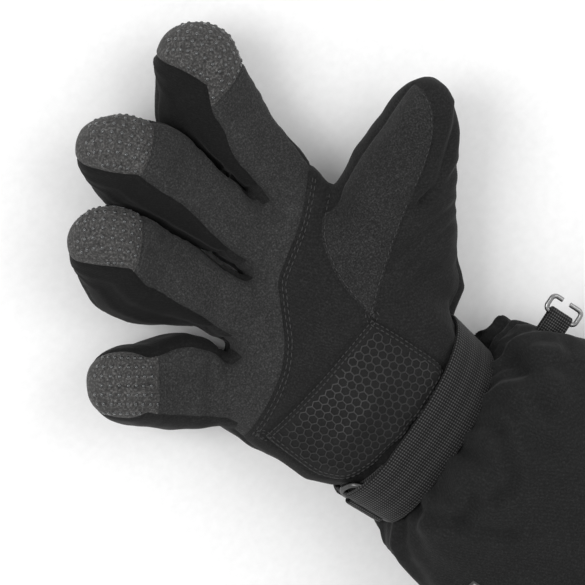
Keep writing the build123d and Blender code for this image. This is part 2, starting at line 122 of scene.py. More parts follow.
DIGITS = {
    "index": Digit((31.5, 118.5, -15.5), 9.0, 5, 18, 38, 42, 15.0, 18.6, 40, 0.3, -1,
                   (5, 23, 25, 28, 49), (-6.8, 0.8), (1.11, 0, 28, 0.56), 28.0),
    "middle": Digit((4.0, 110.8, -15.5), -12.1, 8, 25, 42, 45.5, 14.8, 18.2, 34, 0.3, -1,
                    (6, 24, 27, 31, 53), (-0.2, 0.6), (1.17, 6, 30, 0.56), 20.5),
    "ring": Digit((-24.0, 93.4, -15.5), -17.7, 10, 28, 40, 40.5, 14.8, 18.2, 36, 0.3, -1,
                  (6, 24, 26, 29, 51), (-3.4, 2.4), (1.17, 6, 30, 0.56), 21.0),
    "little": Digit((-51.5, 67.9, -15.5), -38.5, 12, 30, 31, 32.5, 15.8, 15.2, 10, 0.3, 1,
                    (5, 18.5, 19.5, 22, 41), (2.6, 0.2), (1.3, -4, 17, 0.3), 26.0),
    "thumb": Digit((46.0, 60.0, -6.0), 55, 8, 14, 40, 37.4, 24.0, 20.0, 20, 1.0, -1,
                   (4, 28, 29, 32, 50), (0, 0), (1, 8, 30, 0.5), 0.0),
}
FINGERS = ("index", "middle", "ring", "little")
FACE_HALF = 42.0  # degrees of girth on each side of the middle of a finger's suede face
WALL_SPAN = 96.0  # degrees of girth that its side wall takes
# the thumb: distances along it, and its half width, half depth and sideways drift there
THUMB_S = (-30, -12, 0, 24, 40, 56, 70)
THUMB_ACROSS = (27, 30, 29.0, 25.5, 21.5, 15.4, 12.0)
THUMB_DEEP = (21, 22.5, 21.5, 20.0, 19.0, 17.0, 15.0)
THUMB_DRIFT = (4.5, 5.0, 0.4, -4.2, -2.8, -1.0, -0.2)


def digit_places(d):
    root = place(at(*d.root), d.heading, d.rise_low)
    return root, place(root.o + root.y * d.low, d.heading, d.rise_high)


def digit_roll(d, s):
    """A digit turns about its length as it leaves the hand."""
    return np.radians(d.roll) * (d.twist + (1 - d.twist) * smooth(s / 38))


def puffed(d, s):
    """A finger's sideways bow and how much wider it is at a distance along it."""
    most, start, length, ease = d.swell
    share = smooth((s - start) / length)
    total = d.low + d.high
    towards_tip = smooth((s - ease * total) / (0.32 * total))
    bow = share * (d.bow[0] + (d.bow[1] - d.bow[0]) * towards_tip)
    return bow, 1 + (most - 1) * share * (1 - 0.85 * towards_tip)


def digit_coords(points, d):
    """How far along a digit, across its face towards the thumb, and out of its face."""
    root, upper = digit_places(d)
    u, s, w = local(points, root)
    _, s_up, w_up = local(points, upper)
    t = smooth((s - d.low + 10) / 20)
    s = s + (s_up + d.low - s) * t
    w = w + (w_up - w) * t
    bow, wider = puffed(d, s)
    u = (u - bow) / wider
    r = digit_roll(d, s)
    return s, u * np.cos(r) - w * np.sin(r), u * np.sin(r) + w * np.cos(r)


def digit_distance(points, name):
    d = DIGITS[name]
    s, c, h = digit_coords(points, d)
    total = d.low + d.high
    # power: how square the section is. cap: the length of the rounded end. back: where the root ends
    if name == "thumb":
        c = c - np.interp(s, THUMB_S, THUMB_DRIFT)
        across, deep = np.interp(s, THUMB_S, THUMB_ACROSS), np.interp(s, THUMB_S, THUMB_DEEP)
        power, cap, back = 2.6, 20.0, -30.0
    else:
        swell = 0.94 + 0.12 * smooth(s / (0.6 * total)) - 0.07 * smooth((s - total + 30) / 18)
        across, deep = d.across * swell, d.deep * swell
        power, cap, back = 3.4 - 1.0 * smooth((s - total + 34) / 26), 18.0, -28.0
    g = (np.abs(c / across) ** power + np.abs(h / deep) ** power) ** (1 / power)
    end = np.clip((s - total + cap) / cap, 0, None) + np.clip((back - s) / 10, 0, None)
    g = (g**2.1 + end**2.1) ** (1 / 2.1)
    return (g - 1) * np.minimum(across, deep)


def cuff_place(distance, height, rise=0.0, shift=3.5):
    """A level place across the cuff, at a distance behind the middle of the strap."""
    level = place(WRIST.o, WRIST_TURN, 0)
    o = level.o - level.y * distance + level.x * shift
    return place((o[0], o[1], WRIST.o[2] + height), WRIST_TURN, rise)


HEM = cuff_place(100, 9.8)
# half of how much further the neck stands out on the thumb side at the strap's front edge
FLARE = 2.4
# place, half width, half thickness and squareness, from the hem to the roots of the fingers
SECTIONS = [
    (HEM, 73.6, 42.0, 2.2),
    (cuff_place(75, 8.2, 0, 4.2), 71.0, 40.8, 2.2),
    (cuff_place(42, 5.8, 0, 4.6), 65.0, 38.4, 2.2),
    (cuff_place(28, 3.6, 0, 3.6), 60.5, 36.6, 2.2),
    (cuff_place(20, 1.8, 5, 4.2), 58.0, 34.2, 2.1),
    (moved(WRIST, -13.6, 6.2), 53.0, 28.8, 2.1),
    (moved(WRIST, -12.6), 40.0, 24.5, 2.0),
    (moved(WRIST, 12.6, FLARE), 40.0 + FLARE, 24.5, 2.0),
    (moved(hinge, 0, 2.4), 45.6, 26.8, 2.0),
    (place(at(-4.4, 30, 1.5), -14, 6), 50.0, 27.5, 2.1),
    (place(at(-6.0, 50, -4.5), -20, 0), 53.6, 26.0, 2.2),
    (place(at(-8.0, 63, -8.0), -23.5, 0), 56.4, 23.6, 2.3),
    (place(at(-9.2, 93.2, -15.5), -30.9, 0), 62.0, 17.5, 2.5),
]


def loft_distance(points):
    """The cuff, wrist and palm, lofted through SECTIONS."""
    ahead = [local(points, s[0])[1] for s in SECTIONS]
    g = np.full(len(points), 3.0, np.float32)
    steep = np.full(len(points), 1 / 40, np.float32)
    last = len(SECTIONS) - 1
    for i in range(-1, last + 1):
        first, second = SECTIONS[max(i, 0)], SECTIONS[min(i + 1, last)]
        inside = (ahead[i] >= 0 if i >= 0 else True) & (ahead[i + 1] < 0 if i < last else True)
        inside = np.broadcast_to(inside, len(points))
        if i in (-1, last):
            t = np.zeros(int(inside.sum()))
        else:
            t = (ahead[i] / (ahead[i] - ahead[i + 1]))[inside]
        a, b = first[0], second[0]
        q = points[inside] - (a.o + np.outer(t, b.o - a.o))
        u = np.abs(q @ a.x + t * (q @ (b.x - a.x)))
        w = np.abs(q @ a.z + t * (q @ (b.z - a.z)))
        wide, thick, power = (first[k] + t * (second[k] - first[k]) for k in (1, 2, 3))
        u, w = u / wide + 1e-6, w / thick + 1e-6
        value = (u**power + w**power) ** (1 / power)
        slope = np.hypot(u ** (power - 1) / wide, w ** (power - 1) / thick) * value ** (1 - power)
        g[inside], steep[inside] = value, np.maximum(slope, 1 / 80)
    end = np.clip((ahead[last] + 6) / 8, 0, None)
    g = (g**2.5 + end**2.5) ** (1 / 2.5)
    return (g - 1) / steep


def melt(a, b, k):
    """The nearer of two distances, with the two surfaces run together over k."""
    return np.minimum(a, b) - np.clip(k - np.abs(a - b), 0, None) ** 2 / (4 * k)


LOW = np.array(CAD_BOX[0]) / MM - (7, 7, 4)
HIGH = np.array(CAD_BOX[1]) / MM + (7, 7, 7)
AXES = [np.arange(LOW[k], HIGH[k], VOXEL, dtype=np.float32) for k in range(3)]


def grid_part(low, high):
    """The slices of the grid between two corners, and its points there."""
    cut = tuple(slice(*np.searchsorted(AXES[k], (low[k], high[k]))) for k in range(3))
    points = np.stack(np.meshgrid(*(AXES[k][cut[k]] for k in range(3)), indexing="ij"), -1)
    return cut, points.reshape(-1, 3), points.shape[:3]


SLOT = 1.2  # half of the gap kept between neighbouring fingers
FAR = 30.0  # the field away from the glove


def glove_field():
    field = np.full([len(a) for a in AXES], FAR, np.float32)
    cut, points, shape = grid_part(LOW - 1, (HIGH[0] + 1, WRIST.o[1] + 150, HIGH[2] + 1))
    field[cut] = loft_distance(points).reshape(shape)
    for name, d in DIGITS.items():
        root, upper = digit_places(d)
        ends = np.array([root.o - root.y * 36, upper.o + upper.y * d.high])
        reach = 42 if name == "thumb" else 26
        cut, points, shape = grid_part(ends.min(0) - reach, ends.max(0) + reach)
        found = digit_distance(points, name)
        soft = np.full(len(found), 6.0)
        if name != "thumb":
            s = digit_coords(points, d)[0]
            others = np.min([digit_distance(points, n) for n in FINGERS if n != name], axis=0)
            found = np.maximum(found, (found - others) / 2 + SLOT - 9 * (1 - smooth((s - 8) / 14)))
            soft = 5.5 * (1 - smooth((s - 4) / 14)) + 0.01
        field[cut] = melt(field[cut], found.reshape(shape), soft.reshape(shape))
    cut, points, shape = grid_part(LOW - 1, HIGH + 1)
    floor = (0.5 - points[:, 2]).reshape(shape)
    return -melt(-field, -floor, 2.5)


# ---------------------------------------------------------------- skins
def new_mesh(name, corners, faces, shade=True, **values):
    """A mesh from corners in millimetres. Each of values is kept as an attribute, for the shaders."""
    mesh = bpy.data.meshes.new(name)
    mesh.from_pydata((np.asarray(corners) * MM).tolist(), [], faces)
    if shade:
        mesh.shade_smooth()
    for key, value in values.items():
        mesh.attributes.new(key, "FLOAT", "POINT").data.foreach_set("value", value.astype(np.float32))
    return mesh


class Skin:
    """A mesh in columns: place first, then the fields that its panels are cut by."""

    def __init__(self, field, level, step, rounds):
        grid = openvdb.FloatGrid(FAR)
        grid.copyFromArray(np.ascontiguousarray(field[::step, ::step, ::step]))
        points, quads = grid.convertToQuads(isovalue=level)
        v = points.astype(float) * VOXEL * step + np.array([a[0] for a in AXES])
        self.faces = quads.astype(int)
        corners = [v[self.faces[:, k]] for k in range(4)]
        volume = np.einsum("ij,ij->i", np.cross(corners[0], corners[1]), corners[2]).sum()
        if volume < 0:
            self.faces = self.faces[:, ::-1].copy()
        self.data = v
        ends = self.edges()
        for _ in range(rounds):
            for share in (0.5, -0.52):
                total, count = np.zeros_like(v), np.bincount(ends.ravel(), minlength=len(v))
                for k in range(3):
                    total[:, k] = np.bincount(ends[:, 0], v[ends[:, 1], k], len(v))
                    total[:, k] += np.bincount(ends[:, 1], v[ends[:, 0], k], len(v))
                v = v + share * (total / count[:, None] - v)
        self.names = ["x", "y", "z"]
        self.data = v
        self.labels = np.full(len(self.faces), "hand", dtype=object)

    def edges(self, chosen=slice(None)):
        """The pairs of corners that share an edge of the chosen faces."""
        f = self.faces[chosen]
        pairs = np.concatenate([f[:, [k, (k + 1) % 4]] for k in range(4)])
        pairs = pairs[pairs[:, 0] != pairs[:, 1]]
        pairs.sort(axis=1)
        code = np.unique(pairs[:, 0] * len(self.data) + pairs[:, 1])
        return np.stack([code // len(self.data), code % len(self.data)], 1)

    @property
    def v(self):
        return self.data[:, :3]

    def add(self, **fields):
        self.names += list(fields)
        self.data = np.column_stack([self.data, *fields.values()])

    def get(self, name):
        return self.data[:, self.names.index(name)]

    def cut(self, name, within, yes, no=None):
        """Parts the faces labelled within along the field's zero, moving the nearest corners onto it."""
        column = self.names.index(name)
        chosen = np.isin(self.labels, within)
        ends = self.edges(chosen)
        f = self.data[:, column].copy()
        ends = ends[f[ends[:, 0]] * f[ends[:, 1]] < 0]
        share = np.abs(f[ends[:, 0]]) / (np.abs(f[ends[:, 0]]) + np.abs(f[ends[:, 1]]))
        swap = share > 0.5
        mover, target = np.where(swap, ends[:, 1], ends[:, 0]), np.where(swap, ends[:, 0], ends[:, 1])
        share = np.where(swap, 1 - share, share)
        order = np.lexsort((share, mover))
        mover, target, share = mover[order], target[order], share[order]
        mover, first = np.unique(mover, return_index=True)
        target, share = target[first], share[first]
        self.data[mover] += share[:, None] * (self.data[target] - self.data[mover])
        self.data[mover, column] = 0.0
        g = self.data[:, column]
        value = g[self.faces]
        mixed = chosen & (value.max(1) > 0) & (value.min(1) < 0)
        if mixed.any():
            q = self.faces[mixed]
            odd = (g[q[:, 1]] == 0) & (g[q[:, 3]] == 0)
            q[odd] = np.roll(q[odd], 1, axis=1)
            second = q[:, [0, 2, 3, 3]]
            self.faces[mixed] = q[:, [0, 1, 2, 2]]
            self.faces = np.concatenate([self.faces, second])
            self.labels = np.concatenate([self.labels, self.labels[mixed]])
            chosen = np.concatenate([chosen, np.ones(len(second), bool)])
        score = g[self.faces].sum(1)
        flat = score == 0
        score[flat] = f[self.faces[flat]].sum(1)
        self.labels[chosen & (score > 0)] = yes
        if no is not None:
            self.labels[chosen & (score <= 0)] = no

    def normals(self):
        v, f = self.v, self.faces
        n = np.cross(v[f[:, 2]] - v[f[:, 0]], v[f[:, 3]] - v[f[:, 1]])
        triangle = f[:, 2] == f[:, 3]
        n[triangle] = np.cross(v[f[triangle, 1]] - v[f[triangle, 0]], v[f[triangle, 2]] - v[f[triangle, 0]])
        total = np.zeros_like(v)
        for k in range(4):
            for axis in range(3):
                total[:, axis] += np.bincount(f[:, k], n[:, axis], len(v))
        return total / np.maximum(np.linalg.norm(total, axis=1), 1e-9)[:, None]

    def mesh(self, name, labels, normals):
        """A mesh of the faces with these labels, shaded by the whole skin's normals."""
        chosen = self.faces[np.isin(self.labels, labels)]
        used, index = np.unique(chosen, return_inverse=True)
        index = index.reshape(chosen.shape)
        faces = [list(dict.fromkeys(row)) for row in index.tolist()]
        faces = [row for row in faces if len(row) > 2]
        mesh = new_mesh(name, self.v[used], faces)
        mesh.normals_split_custom_set_from_vertices(normals[used].tolist())
        return mesh


def smooth_line(points, closed=False):
    """A smooth line through points, in short steps."""
    p = np.array(points, float)
    if closed:
        p = np.concatenate([p[-1:], p, p[:2]])
    else:
        p = np.concatenate([2 * p[:1] - p[1:2], p, 2 * p[-1:] - p[-2:-1]])
    t = np.linspace(0, 1, 8, endpoint=False)[:, None]
    line = []
    for a, b, c, d in zip(p[:-3], p[1:-2], p[2:-1], p[3:]):
        bend = 2 * a - 5 * b + 4 * c - d
        line.append(0.5 * (2 * b + (c - a) * t + bend * t**2 + (3 * b - a - 3 * c + d) * t**3))
    return np.concatenate([*line, p[-2:-1]])


def line_distance(x, y, line):
    """Distance in plan to a line of points."""
    best = np.full(len(x), 1e9)
    for (ax, ay), (bx, by) in zip(line[:-1], line[1:]):
        dx, dy = bx - ax, by - ay
        t = np.clip(((x - ax) * dx + (y - ay) * dy) / max(dx * dx + dy * dy, 1e-9), 0, 1)
        best = np.minimum(best, np.hypot(x - ax - t * dx, y - ay - t * dy))
    return best


def inside_outline(x, y, line):
    """Signed distance in plan to a closed line of points: positive inside it."""
    line = np.concatenate([line, line[:1]])
    inside = np.zeros(len(x), bool)
    for (ax, ay), (bx, by) in zip(line[:-1], line[1:]):
        if by != ay:
            inside ^= ((ay > y) != (by > y)) & (x < ax + (bx - ax) * (y - ay) / (by - ay))
    best = line_distance(x, y, line)
    return np.where(inside, best, -best)


# plan lines, from the middle of the wrist
SUEDE_EDGE = [
    (75, 126), (58, 119), (43, 111), (25, 100), (8, 92.5), (0, 88.5), (-5, 83), (-11.5, 75), (-18, 67.5),
    (-30, 59), (-53, 50), (-80, 44),
]
HEEL_PATCH = [
    (-50, 45), (-17, 48), (15.5, 51.5), (17.5, 50), (22, 32), (24, 13), (12, 8.5), (-3, 6), (-17, 5),
    (-30, 5), (-40, 7), (-46, 14), (-48.5, 20), (-51, 35), (-52, 44),
]
THUMB_PAD = [
    (18.0, 52.5), (18.0, 66), (21.5, 79), (28.5, 90.5), (45, 101), (64, 108), (82, 113), (95, 113.5),
    (101.5, 109), (99.5, 98), (89, 86.5), (76, 79.5), (59, 72.5), (44, 65), (30, 57.5), (19.2, 51.8),
]
FAR_CORNERS = [(-150, 44), (-150, 200), (90, 200), (90, 126)]
# the slanted plane that parts the palm side of the hand from its back
SIDE_POINT, SIDE_UP = at(0, 18, 0), np.array([0, 0.17, 1]) / np.hypot(0.17, 1)


def add_fields(skin):
    v = skin.v
    x, y, z = (v - WRIST.o).T
    thumb_s, thumb_c, thumb_h = digit_coords(v, DIGITS["thumb"])
    skin.add(
        cuff=-local(v, WRIST)[1],
        hem=local(v, HEM)[1],
        ahead=local(v, WRIST)[1] - 34,
        top=z,
        side=(v - SIDE_POINT) @ SIDE_UP,
        suede=inside_outline(x, y, np.concatenate([smooth_line(SUEDE_EDGE), FAR_CORNERS])),
        patch=inside_outline(x, y, smooth_line(HEEL_PATCH, True)),
        pad=np.minimum(inside_outline(x, y, smooth_line(THUMB_PAD, True)), thumb_h + 4),
    )
    away = {n: digit_distance(v, n) for n in DIGITS}
    for name, d in DIGITS.items():
        s, c, h = digit_coords(v, d)
        others = np.min([away[n] for n in DIGITS if n != name], axis=0)
        total = d.low + d.high
        a = np.degrees(np.arctan2(c, h + 1.3 * np.clip(s - total + 20, 0, None)))
        radius = np.hypot(c, h) * np.pi / 180
        centre = d.side * (FACE_HALF + WALL_SPAN / 2)
        off = np.abs((a - centre + 180) % 360 - 180)
        skin.add(**{
            f"own_{name}": np.minimum(s - (d.folds[0] if name == "thumb" else -4), others - away[name]),
            f"s_{name}": s,
            f"a_{name}": a,
            f"collar_{name}": s - d.folds[0],
            f"split_{name}": s - d.folds[2],
            f"face_{name}": (FACE_HALF - np.abs(a)) * radius,
            f"wall_{name}": (WALL_SPAN / 2 - off) * radius,
            f"tip_{name}": s - (total - d.patch) - 0.02 * a,
        })


def cut_panels(skin, whole):
    """Labels the skin's faces by panel. whole leaves the panels of a part together, for a lining."""
    skin.cut("cuff", ["hand"], "cuff")
    skin.cut("hem", ["cuff"], "cuff", "none")
    if not whole:
        skin.cut("top", ["cuff"], "cuff_palm_panel", "cuff_back_panel")
        skin.cut("pad", ["hand"], "pad")
        skin.cut("split_thumb", ["pad"], "thumb_pad_upper", "thumb_pad_lower")
    for name in DIGITS:
        skin.cut(f"own_{name}", ["hand"], name)
        if whole:
            skin.cut(f"collar_{name}", [name], name, "hand")
            skin.cut(f"split_{name}", [name], name + "_upper", name + "_lower")
            continue
        if name == "thumb":
            skin.cut("split_thumb", [name], "thumb_back_upper", "thumb_back_lower")
            continue
        face, wall = name + "_face", name + "_wall"
        skin.cut(f"face_{name}", [name], face)
        skin.cut(f"wall_{name}", [name], wall)
        for part, rest in ((face, "palm_suede"), (wall, "hand_back"), (name, "hand_back")):
            skin.cut(f"collar_{name}", [part], part, rest)
        skin.cut(f"split_{name}", [face], "upper", f"{name}_palm_face_lower")
        skin.cut(f"tip_{name}", ["upper"], f"{name}_tip_patch", f"{name}_palm_face_upper")
        skin.cut(f"split_{name}", [wall], f"{name}_side_wall_upper", f"{name}_side_wall_lower")
        skin.cut(f"split_{name}", [name], f"{name}_back_upper", f"{name}_back_lower")
    if not whole:
        skin.cut("side", ["hand"], "palm_panel", "hand_back")
        skin.cut("suede", ["palm_panel"], "palm_suede")
        skin.cut("patch", ["palm_panel"], "heel_patch")


# folds in plan, from the middle of the wrist: points, depth and half width
FOLDS = [
    ([(107, 88), (96, 81), (82, 73), (68, 71)], 1.3, 1.7),
    ([(93, 68), (78, 69), (63, 71)], 1.0, 1.8),
    ([(77, 57), (58, 60), (38, 60)], 0.9, 2.0),
    ([(74, 52), (57, 54), (41, 55)], 0.7, 1.8),
    ([(60, 36), (50, 44), (38, 47)], 0.7, 2.6),
    ([(48, -9), (46, -16), (43, -27)], 2.6, 4.6),
    ([(22, -21), (17, -30), (10, -40), (0, -39)], 2.0, 2.6),
    ([(-3, -29), (-9, -36), (-17, -36)], 2.6, 3.2),
    ([(-26, -26), (-17, -40), (-6, -55)], 2.0, 3.0),
    ([(44, 8), (51, -4), (63, -18)], -1.8, 3.0),
    ([(33, -20), (30, -33), (33, -47)], 1.6, 3.6),
    ([(60, -30), (48, -52), (44, -80)], 1.4, 7.0),
    ([(-30, -60), (-5, -75), (20, -78)], 1.2, 8.0),
    ([(-79, 106), (-74, 100), (-70, 97)], 1.0, 1.4),
    ([(-62, 66), (-55, 74), (-47, 82)], 0.8, 2.4),
]


def waves(points, seed, size, count=9):
    """A smooth uneven field between about -1 and 1, its bumps about size wide."""
    rng = np.random.default_rng(seed)
    total = np.zeros(len(points))
    for _ in range(count):
        direction = rng.normal(size=3)
        direction *= 2 * np.pi / (size * rng.uniform(0.7, 1.5) * np.linalg.norm(direction))
        total += np.sin(points @ direction + rng.uniform(0, 2 * np.pi))
    return total / count**0.5


def family(label):
    """Panels of one family run into each other with no seam between them."""
    if label.endswith("tip_patch"):
        return "tip"
    if label in ("none", "heel_patch") or label.startswith("thumb_pad"):
        return label[:9]
    if label == "palm_suede" or "palm_face" in label:
        return "suede"
    if label.startswith("thumb_back"):
        return "thumb"
    for word in ("wall", "back"):
        if word in label and "cuff" not in label:
            return word
    return label


def seam_points(skin):
    """The corners that lie on a seam."""
    names = sorted(set(skin.labels.tolist()))
    index = {n: k for k, n in enumerate(sorted({family(n) for n in names}))}
    kind = np.array([index[family(n)] for n in names])[np.searchsorted(names, skin.labels.astype(str))]
    pairs = np.concatenate([skin.faces[:, [k, (k + 1) % 4]] for k in range(4)])
    owner = np.tile(kind, 4)
    pairs.sort(axis=1)
    code = pairs[:, 0] * len(skin.data) + pairs[:, 1]
    order = np.argsort(code, kind="stable")
    code, owner, pairs = code[order], owner[order], pairs[order]
    met = (code[1:] == code[:-1]) & (owner[1:] != owner[:-1]) & (pairs[1:, 0] != pairs[1:, 1])
    # the thumb's back runs into the panels beside it with no seam
    owners = np.stack([owner[1:], owner[:-1]])
    beside = [index[n] for n in ("palm_panel", "back") if n in index]
    plain = (owners == index["thumb"]).any(0) & np.isin(owners, beside).any(0)
    return np.unique(pairs[1:][met & ~plain])


def from_seam(points, seam):
    """Each point's distance to the nearest of the seam's points."""
    tree = KDTree(len(seam))
    for k, p in enumerate(seam):
        tree.insert(p, k)
    tree.balance()
    return np.array([tree.find(p)[2] for p in points])


def bell(distance, half):
    """1 on a line, fading out over about half on each side of it."""
    return np.exp(-((distance / half) ** 2))


def folds(skin, normals):
    """The folds on the palm side, each a groove with a low ridge along it."""
    x, y, _ = (skin.v - WRIST.o).T
    out = np.zeros(len(x))
    facing = smooth(normals[:, 2] * 1.6 + 0.2)
    for points, depth, half in FOLDS:
        d = line_distance(x, y, smooth_line(points))
        out -= facing * depth * (bell(d, half) - 0.45 * bell(d - 2.1 * half, half))
    return out


def gathers(skin):
    """Pleats that spread from under the strap, long ones over the cuff and short ones over the hand."""
    wx, wy, wz = local(skin.v, WRIST)
    turn = np.arctan2(wz / 25, wx / 40)
    behind, ahead = -wy - 13, wy - 13
    reach = 16 + 7 * np.sin(3 * turn + 1) + 5 * np.sin(7 * turn + 2.2)
    pleats = np.sin(15 * turn + 1.1 * np.sin(4 * turn) + 0.03 * behind)
    pleats += 0.6 * np.sin(26 * turn + 2 + 0.05 * behind)
    out = np.where(behind > -4, 1.15 * pleats * bell(behind, reach), 0)
    out += np.where((ahead > -4) & (ahead < 40), 0.4 * pleats * bell(ahead, 8), 0)
    return out + smooth((-wy - 30) / 20) * 0.9 * waves(skin.v * (1, 0.5, 1), 5, 44)


def creases(skin, name):
    """Creases across a finger's bends, and ripples along its side wall."""
    d = DIGITS[name]
    s, a = skin.get("s_" + name), skin.get("a_" + name)
    near = smooth((skin.get("own_" + name) + 1) / 4)
    across = smooth((70 - np.abs(a)) / 30)
    out = np.zeros(len(s))
    for where, depth, half in ((d.low, 0.5, 2.2), (d.low - 7, 0.3, 1.6), (11.0, 0.35, 2.6)):
        out -= near * across * depth * bell(s - where - 0.03 * np.abs(a), half)
    if d.side < 0:
        wall = smooth((20 - np.abs(np.abs(a + 90) - 15)) / 20)
        out += near * wall * 0.35 * np.sin(a / 6.5 + s * 0.12 + 1.3 * np.sin(s * 0.07))
    return out


# how deep the seams pull in, and how far the heel's patch stands up
SEAM_DEPTH, PATCH_RAISE = 0.75, 0.7


def relief(skin):
    """How far each corner stands off the plain shape: seams pull in, panels puff out, and fabric folds."""
    v, n = skin.v, skin.normals()
    gap = from_seam(v, v[seam_points(skin)])
    out = 0.35 * waves(v, 1, 26) + 0.16 * waves(v, 2, 11)
    out += SEAM_DEPTH * (1 - bell(gap, 6) - bell(gap, 1.1))
    out += folds(skin, n) + gathers(skin)
    on_patch = np.isin(np.arange(len(v)), np.unique(skin.faces[skin.labels == "heel_patch"]))
    out += np.where(on_patch, PATCH_RAISE * smooth(skin.get("patch") / 1.4), 0)
    for name in FINGERS:
        out += creases(skin, name)
    return out * smooth((skin.get("hem") - 1) / 12), n


# ---------------------------------------------------------------- shaders
MATERIALS = {}


class Shader:
    """A material with short ways to add its nodes."""

    def __init__(self, name, **fixed):
        self.m = bpy.data.materials.new(name)
        self.m.use_nodes = True
        self.tree = self.m.node_tree
        self.shader = self.tree.nodes["Principled BSDF"]
        for key, value in fixed.items():
            self.shader.inputs[key.replace("_", " ")].default_value = value
        self.place = self.node("ShaderNodeTexCoord").outputs["Object"]
        MATERIALS[name] = self.m

    def node(self, kind, **settings):
        made = self.tree.nodes.new(kind)
        for key, value in settings.items():
            setattr(made, key, value)
        return made

    def link(self, a, b):
        self.tree.links.new(a, b)

    def noise(self, size, detail=2.0, rough=0.6, stretch=None):
        """Noise whose bumps are size millimetres wide."""
        made = self.node("ShaderNodeTexNoise")
        made.inputs["Scale"].default_value = 1 / (size * MM)
        made.inputs["Detail"].default_value = detail
        made.inputs["Roughness"].default_value = rough
        where = self.place
        if stretch:
            mapping = self.node("ShaderNodeMapping")
            mapping.inputs["Scale"].default_value = stretch
            self.link(where, mapping.inputs["Vector"])
            where = mapping.outputs["Vector"]
        self.link(where, made.inputs["Vector"])
        return made.outputs["Fac"]

    def attribute(self, name):
        return self.node("ShaderNodeAttribute", attribute_name=name).outputs["Fac"]

    def math(self, operation, a, b=0.0):
        made = self.node("ShaderNodeMath", operation=operation)
        for k, value in enumerate((a, b)):
            if isinstance(value, (int, float)):
                made.inputs[k].default_value = value
            else:
                self.link(value, made.inputs[k])
        return made.outputs[0]

    def ramp(self, value, *stops):
        made = self.node("ShaderNodeValToRGB")
        band = made.color_ramp
        while len(band.elements) < len(stops):
            band.elements.new(0.5)
        for element, (where, shade) in zip(band.elements, stops):
            element.position = where
            element.color = (*(shade if isinstance(shade, tuple) else (shade,) * 3), 1)
        self.link(value, made.inputs["Fac"])
        return made.outputs["Color"]

    def times(self, a, b, share=1.0):
        made = self.node("ShaderNodeMix", data_type="RGBA", blend_type="MULTIPLY")
        made.inputs["Factor"].default_value = share
        self.link(a, made.inputs["A"])
        self.link(b, made.inputs["B"])
        return made.outputs["Result"]

    def finish(self, colour, height, depth, strength=0.6, rough=None):
        self.link(colour, self.shader.inputs["Base Color"])
        bump = self.node("ShaderNodeBump")
        bump.inputs["Strength"].default_value = strength
        bump.inputs["Distance"].default_value = depth * MM
        self.link(height, bump.inputs["Height"])
        self.link(bump.outputs["Normal"], self.shader.inputs["Normal"])
        if rough is not None:
            self.link(rough, self.shader.inputs["Roughness"])


def grey(value, tint=(1.0, 1.0, 1.0)):
    """A colour from a screen value from 0 to 255."""
    c = value / 255
    linear = c / 12.92 if c <= 0.04045 else ((c + 0.055) / 1.055) ** 2.4
    return tuple(linear * t for t in tint)


def cloth_shader(name, shade, fleck, size, bump, sheen, tint=(1, 1, 1), twill=0.0, rough=0.9):
    """Cloth with a fine grain of flecks, a soft unevenness, painted shade in its hollows and, for a twill,
    fine diagonal lines.
    """
    s = Shader(name, Roughness=rough, Sheen_Weight=sheen, Sheen_Roughness=0.45, Specular_IOR_Level=0.2)
    grain = s.noise(size, 3, 0.7)
    colour = s.ramp(grain, (0.3, grey(shade * (1 - fleck), tint)), (0.52, grey(shade, tint)),
                    (0.72, grey(shade * (1 + 1.6 * fleck), tint)))
    patchy = s.ramp(s.noise(14, 3, 0.6), (0.3, 0.82), (0.7, 1.0))
    colour = s.times(colour, patchy)
    height = grain
    if twill:
        lines = s.node("ShaderNodeTexWave", wave_type="BANDS", bands_direction="DIAGONAL")
        lines.inputs["Scale"].default_value = 1 / (twill * MM) / 3.2
        lines.inputs["Distortion"].default_value = 0.6
        s.link(s.place, lines.inputs["Vector"])
        colour = s.times(colour, s.ramp(lines.outputs["Fac"], (0.2, 0.86), (0.8, 1.0)))
        height = s.math("ADD", s.math("MULTIPLY", grain, 0.6), s.math("MULTIPLY", lines.outputs["Fac"], 0.5))
    # painted shade: hollows and creases (low pointiness) are darkened, as if shade lay in them
    pointed = s.node("ShaderNodeNewGeometry").outputs["Pointiness"]
    wear_and_hollow_shade = s.ramp(pointed, (0.44, 0.8), (0.5, 0.95), (0.58, 1.0))
    s.finish(s.times(colour, wear_and_hollow_shade), height, bump)


def webbing_shader(name, shade, pitch):
    """Ribbed webbing: fine rows across, crossed by lengthwise cords in three bands, with painted highlight on
    the weave's raised points and painted shade in its hollows.
    """
    s = Shader(name, Roughness=0.75, Sheen_Weight=0.08, Specular_IOR_Level=0.25)
    run, side = s.attribute("run"), s.attribute("side")
    rows, cords, bands = (
        s.math("MULTIPLY", s.math("SINE", s.math("MULTIPLY", way, 2 * np.pi / step)), share)
        for way, step, share in ((run, pitch, 0.22), (side, pitch * 0.9, 0.2), (side, 7.5, 0.04))
    )
    height = s.math("ADD", s.math("ADD", rows, cords), s.math("ADD", bands, 0.5))
    # painted light: the weave's high points are painted far lighter and its hollows far darker
    colour = s.ramp(height, (0.3, grey(shade * 0.1)), (0.52, grey(shade * 0.55)), (0.82, grey(shade * 3.2)))
    fluff = s.ramp(s.noise(1.4, 3), (0.3, 0.8), (0.7, 1.0))
    s.finish(s.times(colour, fluff), height, 0.35, 0.8)


